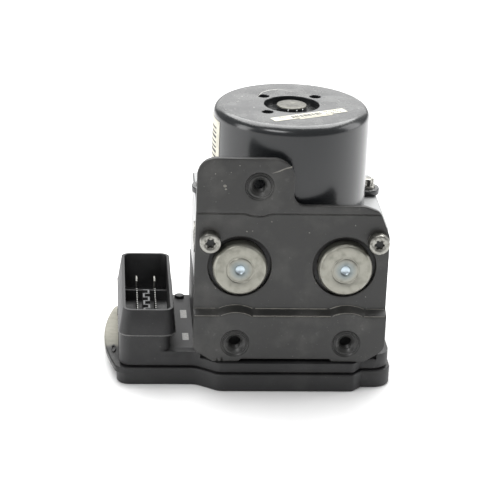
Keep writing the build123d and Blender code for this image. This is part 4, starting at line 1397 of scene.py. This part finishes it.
    def pad_rings(self) -> list[tuple[Point2, float, float, list[float]]]:
        """Centre, clear band and ring radii of the slope round each nut's pad."""
        half = BEND_SOFT / 2
        near = (-BEND_SOFT, -half, 0, half, BEND_SOFT)
        found = []
        for centre, outer, slope in (
            *[(nut, self.pad_radius + self.lower_bend, self.lower_bend) for nut in self.foot_nuts],
            (self.tab_nut, self.pad_radius, self.upper_bend),
        ):
            shares = (*near, 0.5, 1 - BEND_SOFT, 1 - half, 1, 1 + half, 1 + BEND_SOFT)
            radii = [outer - slope * share for share in shares]
            found.append((centre, radii[-1] - 0.2 * MM, radii[0] + 0.2 * MM, radii))
        return found

    def wants_point(self, place: Point2) -> bool:
        """Whether a place takes a point, which it doesn't where a pad swallows a straight bend."""
        low, high = self.tab_rows
        if math.dist(place, self.tab_nut) < self.pad_radius + 1 * MM:
            return not low <= place[1] <= high
        away = min(math.dist(place, nut) for nut in self.foot_nuts)
        return away >= self.pad_radius + 3.4 * MM or place[1] > self.foot_rows or away < self.pad_flat

    def hole_rings(self) -> list[tuple[Point2, float]]:
        """Centre and radius of every hole in the sheet."""
        rings = [(place, self.cap_hole_radius) for place in self.cap_places]
        rings += [(place, self.screw_hole) for place in self.screw_places]
        return rings + [(place, self.nut_hole) for place in (*self.foot_nuts, self.tab_nut)]

    def make_nuts(self) -> None:
        """Clinch nuts painted with the bracket: two raised rings and a threaded bore."""
        shape = Shape(Plane.FRONT)
        profile = [
            (3.4, -6.3), (3.4, -1.5), (3.9, -0.9), (4.9, -0.25), (5.3, 0.0), (5.7, -0.1), (5.9, -0.45),
            (6.3, -0.5), (6.6, -0.3), (6.9, 0.0), (7.15, -0.05), (7.2, -0.4), (7.2, -3.0), (8.6, -3.0),
            (8.6, -6.6), (3.7, -6.6), (3.4, -6.3),
        ]
        shape.lathe([mm(r, h) for r, h in profile], segments=56)
        crests = Shape(Plane.FRONT)
        for turn in range(4):
            middle = -2.2 - turn * 1.1
            crests.lathe([mm(3.42, middle + 0.3), mm(3.1, middle), mm(3.42, middle - 0.3)], segments=40)
        shape.join(crests)
        places = [(x, self.panel - self.lower_step, z) for x, z in self.foot_nuts]
        places.append((self.tab_nut[0], self.panel - self.upper_step, self.tab_nut[1]))
        piece = self.scatter.run("bracket_clinch_nuts", shape, places, self.palette.powder)
        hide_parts("bracket_nuts")

    def make_screws(self) -> None:
        """Cylinder-head screws with six-lobed sockets."""
        shape = Shape(Plane.FRONT)
        height, radius, socket = 5.8 * MM, 5.4 * MM, lobed_outline(2.35, 0.35)
        head = (
            (radius, 0.0), (radius, height - 0.9 * MM), (radius - 0.3 * MM, height - 0.3 * MM),
            (radius - 0.9 * MM, height), (3.6 * MM, height), (3.2 * MM, height - 0.15 * MM),
        )
        rings = [shape.ring(circle_outline(r, segments=LOBE_STEPS), h) for r, h in head]
        rings += [shape.ring(socket, height - depth * MM) for depth in (0.5, 2.6)]
        shape.skin(*rings)
        shape.fan(rings[-1], height - 2.9 * MM)
        shape.cap(rings[0], up=False)
        places = [(x, self.panel, z) for x, z in self.screw_places]
        piece = self.scatter.run("bracket_socket_screws", shape, places, self.palette.screw)
        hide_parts("bracket_screws")

    def make_caps(self) -> None:
        """Turned accumulator caps: bevelled rim, ring groove, centre dimple."""
        low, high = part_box("accumulator_cap_left")
        length = (high.y - low.y) / MM
        profile = [
            (11.0, -length), (14.0, -length), (14.0, -1.7), (13.95, -1.5), (13.2, -0.35), (12.95, -0.1),
            (12.6, 0.0), (7.5, 0.0), (7.25, -0.12), (7.05, -0.38), (6.75, -0.45), (6.45, -0.38),
            (6.2, -0.12), (5.9, -0.02), (3.1, -0.05), (2.75, -0.15), (2.35, -0.55), (1.7, -0.95),
            (0.8, -1.15), (0.0, -1.2),
        ]
        for name, (x, z) in zip(("accumulator_cap_left", "accumulator_cap_right"), self.cap_places):
            shape = Shape(Plane.FRONT)
            shape.lathe([mm(r, h) for r, h in profile], segments=112)
            finish = TurnedZinc("turned_zinc_plated_" + name, (x, 0.0, z)).build()
            piece = new_piece(name + "_turned", shape, finish, Matrix.Translation((x, low.y, z)))
            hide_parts(name)

    def make_gaps(self) -> None:
        """Painted shade: black rings in the gaps round the accumulators, and dark discs deep in the screws'
        sockets.
        """
        shape = Shape(Plane.FRONT)
        shape.lathe([
            mm(14.03, -0.05), mm(16.38, -0.05), mm(16.38, 0.35), mm(16.2, 0.5), mm(14.2, 0.5),
            mm(14.03, 0.35), mm(14.03, -0.05),
        ], segments=96)
        well = Shape(Plane.FRONT)
        well.lathe([
            mm(0.0, -0.2), mm(2.02, -0.2), mm(2.02, 0.0), mm(0.9, -0.1), mm(0.0, -0.1),
        ], segments=32)
        # painted shade: black pieces where the gaps and sockets fall into shade
        for name, unit, y, spots in (
            ("accumulator_sealant_beads", shape, self.panel + self.sheet, self.cap_places),
            ("bracket_screw_wells", well, self.panel - 3.9 * MM, self.screw_places),
        ):
            self.scatter.run(name, unit, [(x, y, z) for x, z in spots], self.palette.gap)

    def make_marks(self) -> None:
        """A scratch and rubbed specks on the tab and the main panel."""
        path = [(-12.9, 118.7), (-9.7, 119.7), (-6.2, 121.3), (-3.0, 122.2)]
        specks = [
            (-36.6, 111.6, 0.8), (-36.1, 109.9, 0.5), (-38.2, 114.3, 0.35), (-29.4, 122.5, 0.3),
            (-41.6, 118.0, 0.3), (-33.7, 118.8, 0.25), (-12.0, 92.0, 0.3), (7.5, 86.2, 0.35),
            (12.2, 58.4, 0.3), (-2.0, 72.4, 0.22), (31.0, 90.4, 0.3), (-24.5, 86.6, 0.4),
            (-21.6, 86.9, 0.3), (38.4, 50.9, 0.3), (-39.6, 55.2, 0.3),
        ]
        shape = Shape(Plane.FRONT)
        for outline in (stroke(path, (0.08, 0.32, 0.3, 0.42)), *[speck(*values, 5) for values in specks]):
            shape.plate(outline, self.lifted(-0.03 * MM), self.lifted(0.03 * MM))
        new_piece("bracket_rubbed_marks", shape, self.palette.rubbed)

    def make_bend_lines(self) -> None:
        """Painted highlights: light lines along the two bends of the joggle, which rise over the nut pads."""
        for name, level, radius, half in (
            ("joggle_lower_line", 41.75, 17.3, 0.26), ("joggle_upper_line", 44.15, 19.75, 0.22),
        ):
            path = []
            for step in range(196):
                x = -50.1 + 0.505 * step
                z = level
                for nx, nz in self.foot_nuts:
                    away = abs(x - nx / MM)
                    if away < radius:
                        z = max(z, nz / MM + math.sqrt(radius * radius - away * away))
                path.append((x, z))
            between_nuts = self.foot_nuts[1][0] / MM - 4
            widths = [
                half * (1.0 if abs(x) < between_nuts else 0.55)
                * (0.8 + 0.2 * math.sin(0.9 * x) * math.cos(0.31 * x)) for x, _ in path
            ]
            shape = Shape(Plane.FRONT)
            shape.ribbon(stroke(path, widths), self.lifted(-0.05 * MM), self.lifted(0.04 * MM))
            # painted highlight along the bend, in the light rubbed colour
            new_piece(name, shape, self.palette.rubbed)


# ---------------------------------------------------------------- the control unit
@dataclass
class ControlUnit:
    """The black housing with its cover and the upright connector."""

    palette: Palette
    scatter: Scatter
    rim_left: float = -88.6 * MM
    rim_low: float = 6.0 * MM
    lip_level: float = 27.6 * MM
    lip_box: tuple[float, float, float, float] = mm(-88.9, -59.2, -44.0, 40.2)
    lip_corner: float = 6.4 * MM
    socket_middle: float = -73.75 * MM
    pin_spacing: float = 9.8 * MM
    pin_pitch: float = 2.54 * MM
    pins: int = 17
    first_pin: float = -27.0 * MM
    pin_floor: float = 21.0 * MM
    pin_tip: float = 30.0 * MM
    pin_half: float = 0.32 * MM
    pin_point: float = 0.28 * MM
    key_start: float = -29.8 * MM
    key_tooth: float = 5.0 * MM
    key_teeth: int = 8
    key_step: float = 1.3 * MM
    key_wall: float = 1.2 * MM
    key_top: float = 31.0 * MM
    top: float = 18.5 * MM
    well_corner: Point2 = mm(-65.6, 33.7)
    wall_inner: float = 3.5 * MM
    wall_outer: float = 4.3 * MM
    wall_turns: Point2 = (-12.0, 102.0)

    def build(self) -> None:
        """Makes the control unit's outside."""
        housing = softened_copy("ecu_housing", "control_housing", self.palette.housing, 0.35, 2)
        cover = softened_copy("ecu_cover", "control_cover", self.palette.cover, 0.5, 2)
        self.make_rim(cover)
        self.make_hook()
        self.make_lip()
        self.make_pins()
        self.make_key_edges()
        self.make_fields()
        self.make_corner_wall()

    def make_rim(self, cover: bpy.types.Object) -> None:
        """Gives the bowed rim on the cover's left its light finish of painted reflection and painted shade.
        """
        mesh = cover.data
        with editing(mesh) as work:
            bmesh.ops.bisect_plane(
                work, geom=[*work.verts, *work.edges, *work.faces], dist=DOUBLE,
                plane_co=(self.rim_left, 0, 0), plane_no=(1, 0, 0),
            )
            for face in work.faces:
                outside = all(vert.co.x < self.rim_left + 1e-5 for vert in face.verts)
                face.material_index = int(outside and face.calc_center_median().z > self.rim_low)
        mesh.materials.append(self.palette.rim)
        shade(mesh, COPY_SHARP_DEG)

    def make_hook(self) -> None:
        """A small clip loop on the rim, and the latch ribs on the shroud's left side, light grey as painted
        glints.
        """
        loop = Shape()
        tube, reach = 0.32, 1.0
        turns = [2 * math.pi * step / 12 for step in range(13)]
        loop.lathe([mm(reach + tube * math.cos(t), tube * math.sin(t)) for t in turns], segments=28)
        place = Matrix.Translation(mm(-91.2, -20.4, 9.85)) @ Matrix.Diagonal((1.0, 3.6, 1.0, 1.0))
        new_piece("cover_clip_loop", loop, self.palette.gap, place)
        ribs = Shape()
        for x, y, low, high, width in (
            (-88.95, -15.0, 18.6, 25.4, 1.5), (-88.9, 34.0, 19.5, 26.5, 1.6), (-88.95, 22.0, 10.9, 15.5, 1.4),
        ):
            outline = rectangle(*mm(x, x + 1.4, y - width, y + width))
            ribs.prism(outline, low * MM, high * MM, 0.25 * MM, 0.25 * MM, steps=2)
        # painted highlight: light grey ribs stand in for glints on the shroud's side
        new_piece("shroud_latch_ribs", ribs, self.palette.glossy)

    def make_lip(self) -> None:
        """A bead along the lip where the shroud meets its foot, lighter than the housing as a painted
        highlight.
        """
        outline = rounded_rectangle(*self.lip_box, self.lip_corner)
        middle, wide, high, root = mm(0.1, 0.32, 0.34, 0.8)
        path = []
        for step in range(9):
            angle = math.pi * (step / 8 - 0.5)
            path.append((middle - wide * math.cos(angle), high * math.sin(angle)))
        path += [(root, high), (root, -high)]
        shape = Shape()
        rings = [shape.ring(inset_outline(outline, inset), self.lip_level + rise) for inset, rise in path]
        shape.skin(*rings, rings[0])
        # painted highlight: the bead is lighter than the housing to stand in for the lit edge
        new_piece("shroud_lip_bead", shape, self.palette.glossy)

    def make_pins(self) -> None:
        """Two columns of square pins: shafts darkened as painted shade, pointed tips whitened as painted
        highlights.
        """
        half, point = self.pin_half, self.pin_point
        square = rectangle(-half, half, -half, half)
        shaft, tip = Shape(), Shape()
        shaft.prism(square, 0.0, self.pin_tip - self.pin_floor - point)
        rings = [
            tip.ring([(x * share, y * share) for x, y in square], point * level)
            for share, level in ((1, 0.0), (0.95, 0.4), (0.45, 1.0))
        ]
        tip.skin(*rings)
        tip.cap(rings[0], up=False)
        tip.cap(rings[-1])
        places = [
            (self.socket_middle + side * self.pin_spacing / 2, self.first_pin + index * self.pin_pitch)
            for side in (-1, 1) for index in range(self.pins)
        ]
        # painted shade on the shafts and painted highlight on the tips of one kind of pin
        shafts, _ = (
            self.scatter.run(name, unit, [(x, y, level) for x, y in places], finish)
            for name, unit, level, finish in (
                ("connector_pin_shafts", shaft, self.pin_floor, self.palette.pin),
                ("connector_pin_tips", tip, self.pin_tip - point, self.palette.tip),
            )
        )
        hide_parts("connector_pins")

    def make_key_edges(self) -> None:
        """Painted highlights: light strips along the top edges of the stepped key wall."""
        shape = Shape()
        low, high, half = self.key_top - 0.02 * MM, self.key_top + 0.04 * MM, self.key_wall / 4
        for tooth in range(self.key_teeth):
            y = self.key_start + tooth * self.key_tooth
            x = self.socket_middle + (self.key_step if tooth % 2 else -self.key_step)
            turn_y, reach = y + self.key_tooth - self.key_wall + half, self.key_step + half
            for bar in (
                (x - half, x + half, y, turn_y),
                (self.socket_middle - reach, self.socket_middle + reach, turn_y, y + self.key_tooth - half),
            ):
                shape.prism(rectangle(*bar), low, high)
        new_piece("connector_key_edges", shape, self.palette.edge)

    def make_corner_wall(self) -> None:
        """The rounded wall that closes the connector's foot at its back right corner."""
        start, end = self.wall_turns
        turns = [math.radians(start + (end - start) * step / 12) for step in range(13)]
        shape = Shape()
        plan = arc_band(self.wall_inner, self.wall_outer, turns, self.well_corner)
        shape.prism(plan, self.top - 0.5 * MM, self.lip_level)
        new_piece("connector_corner_wall", shape, self.palette.housing)

    def make_fields(self) -> None:
        """Two plain light fields on the housing's top, between the connector and the bracket."""
        shape = Shape()
        for box in ((-55.0, -51.6, 0.3, 11.2), (-55.0, -51.7, -28.7, -19.7)):
            shape.prism(rounded_rectangle(*mm(*box, 0.4)), self.top - 0.02 * MM, self.top + 0.03 * MM)
        new_piece("housing_plain_fields", shape, self.palette.field)


# ---------------------------------------------------------------- the block and what is inside
@dataclass
class Block:
    """The bored aluminium block."""

    palette: Palette
    scatter: Scatter
    wheel_ports: tuple[Point2, ...] = (mm(-34, 76.5), mm(-12, 76.5), mm(12, 76.5), mm(34, 76.5))
    master_ports: tuple[Point2, ...] = (mm(-22, 59.5), mm(22, 59.5))
    wheel_radius: float = 4.5 * MM
    master_radius: float = 5.5 * MM
    thread_depth: float = 11.0 * MM
    thread_start: float = 1.6 * MM
    thread_height: float = 0.45 * MM
    pitch: float = 1.0 * MM

    def build(self) -> None:
        """Dresses the block and its plugs, and cuts the ports' threads."""
        dress_node("valve_block", self.palette.aluminium)
        dress_node("pump_plugs", self.palette.screw)
        self.make_threads("wheel_port_threads", self.wheel_ports, self.wheel_radius)
        self.make_threads("master_port_threads", self.master_ports, self.master_radius)

    def make_threads(self, name: str, ports: Sequence[Point2], radius: float) -> None:
        """Cut threads in a row of ports on the back.

        Args:
            name: the piece's name.
            ports: x and z of each port.
            radius: the bore's radius.
        """
        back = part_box("valve_block")[1].y
        shape = Shape(Plane.FRONT)
        for turn in range(int(self.thread_depth / self.pitch)):
            low = self.thread_start + turn * self.pitch
            root = radius + 0.02 * MM
            crest = (radius - self.thread_height, low + self.pitch * 0.45)
            shape.lathe([(root, low), crest, (root, low + self.pitch * 0.9), (root, low)], segments=40)
        self.scatter.run(name, shape, [(x, back, z) for x, z in ports], self.palette.aluminium)


@dataclass
class Inside:
    """The pieces that only an opening or a cut would show."""

    palette: Palette

    def build(self) -> None:
        """Gives each inner node its finish."""
        palette = self.palette
        for material, nodes in (
            (palette.aluminium, (
                "motor_end_plate", "accumulator_piston_left", "accumulator_piston_right",
            )),
            (palette.ferrite, ("motor_magnets", "brushes")),
            (palette.steel, (
                "motor_shaft", "bearing_outer_race", "bearing_inner_race", "bearing_balls",
                "eccentric_ring", "brush_springs", "valve_cartridges", "pump_piston_left",
                "pump_piston_right", "pump_sleeves", "pump_spring_left", "pump_spring_right",
                "accumulator_spring_left", "accumulator_spring_right",
            )),
            (palette.core, ("armature_core",)),
            (palette.copper, ("armature_windings", "commutator")),
            (palette.bronze, ("top_bush",)),
            (palette.housing, ("brush_holder", "valve_coils", "vent_plug")),
            (palette.rubber, ("shaft_seal", "piston_seal_left", "piston_seal_right", "ecu_gasket")),
            (palette.tin, ("motor_contacts", "connector_blades")),
            (palette.board, ("circuit_board",)),
            (palette.screw, ("housing_screws",)),
        ):
            for node in nodes:
                dress_node(node, material)


# ---------------------------------------------------------------- studio
@dataclass(frozen=True)
class Studio:
    """The floor, the lights and the camera."""

    focal_px: float = 2000.0
    frame_px: float = 500.0
    sensor_mm: float = 36.0
    elevation_deg: float = 21.54
    turn_deg: float = 4.78
    roll_deg: float = 2.26
    distance: float = 1021.78 * MM
    far_clip: float = 50.0
    sky: float = 0.3
    floor_reach: float = 6.0
    target: Point3 = (-22.59 * MM, -45.3 * MM, 76.49 * MM)

    def build(self) -> None:
        """Makes the studio."""
        self.make_floor()
        self.make_lights()
        self.make_camera()

    def make_floor(self) -> None:
        """A plain pale floor."""
        mesh = bpy.data.meshes.new("studio_floor")
        reach = self.floor_reach
        corners = [(x, y, 0) for x, y in rectangle(-reach, reach, -reach, reach)]
        mesh.from_pydata(corners, [], [(0, 1, 2, 3)])
        floor = new_object("studio_floor", mesh)
        finish = Finish("matt_white_paper", "#f6f6f6", 0.9)
        finish.tint(finish.noise(40, 2), "#ececec", 0.03)
        mesh.materials.append(finish.done())

    def make_lights(self) -> None:
        """A pale sky and soft panels."""
        world = bpy.data.worlds.new("studio_sky")
        bpy.context.scene.world = world
        world.use_nodes = True
        sky = next(n for n in world.node_tree.nodes if n.type == "BACKGROUND")
        sky.inputs["Color"].default_value = (1.0, 1.0, 1.0, 1.0)
        sky.inputs["Strength"].default_value = self.sky
        bpy.context.scene.view_settings.view_transform = "Standard"
        panels = [
            ("overhead_panel", (0.0, 0.7, 1.3), (0, 0.3, 0.0), (1.8, 1.4), 42.0),
            ("back_panel", (0.1, 2.0, 0.9), (0, 0, 0.1), (2.6, 1.2), 12.0),
            ("front_left_panel", (-0.5, -0.85, 1.05), (0, 0, 0.06), (0.6, 0.35), 5.0),
            ("left_panel", (-1.2, -0.25, 0.4), (0, 0, 0.08), (0.45, 0.8), 5.0),
            ("right_panel", (1.1, 0.15, 0.5), (0, 0, 0.08), (0.6, 0.9), 5.0),
        ]
        for name, place, aim, size, power in panels:
            light = bpy.data.lights.new(name, "AREA")
            light.shape = "RECTANGLE"
            light.size, light.size_y = size
            light.energy = power
            lamp = new_object(name, light)
            lamp.location = place
            lamp.rotation_euler = (Vector(aim) - Vector(place)).to_track_quat("-Z", "Y").to_euler()

    def make_camera(self) -> None:
        """A long lens, slightly above and to the right of the bracket's normal, rolled a little."""
        camera = bpy.data.cameras.new("studio_camera")
        camera.sensor_width = self.sensor_mm
        camera.lens = self.focal_px / self.frame_px * self.sensor_mm
        camera.clip_end = self.far_clip
        holder = new_object("studio_camera", camera)
        e, psi, rho = (math.radians(v) for v in (self.elevation_deg, self.turn_deg, self.roll_deg))
        forward = Vector((math.sin(psi) * math.cos(e), math.cos(psi) * math.cos(e), -math.sin(e)))
        right = Vector((math.cos(psi), -math.sin(psi), 0))
        up = right.cross(forward)
        rolled_right = right * math.cos(rho) + up * math.sin(rho)
        rolled_up = up * math.cos(rho) - right * math.sin(rho)
        holder.matrix_world = Matrix.Translation(Vector(self.target) - forward * self.distance) @ Matrix(
            (rolled_right, rolled_up, -forward)
        ).transposed().to_4x4()
        bpy.context.scene.camera = holder


def main() -> None:
    """Builds the module in order."""
    logging.basicConfig(level=logging.INFO, format="%(message)s")
    Studio().build()
    palette = Palette()
    scatter = Scatter("repeat_on_places")
    Motor(palette, scatter).build()
    Bracket(palette, scatter).build()
    ControlUnit(palette, scatter).build()
    Block(palette, scatter).build()
    Inside(palette).build()
    bpy.context.view_layer.update()


if __name__ == "__main__":
    main()
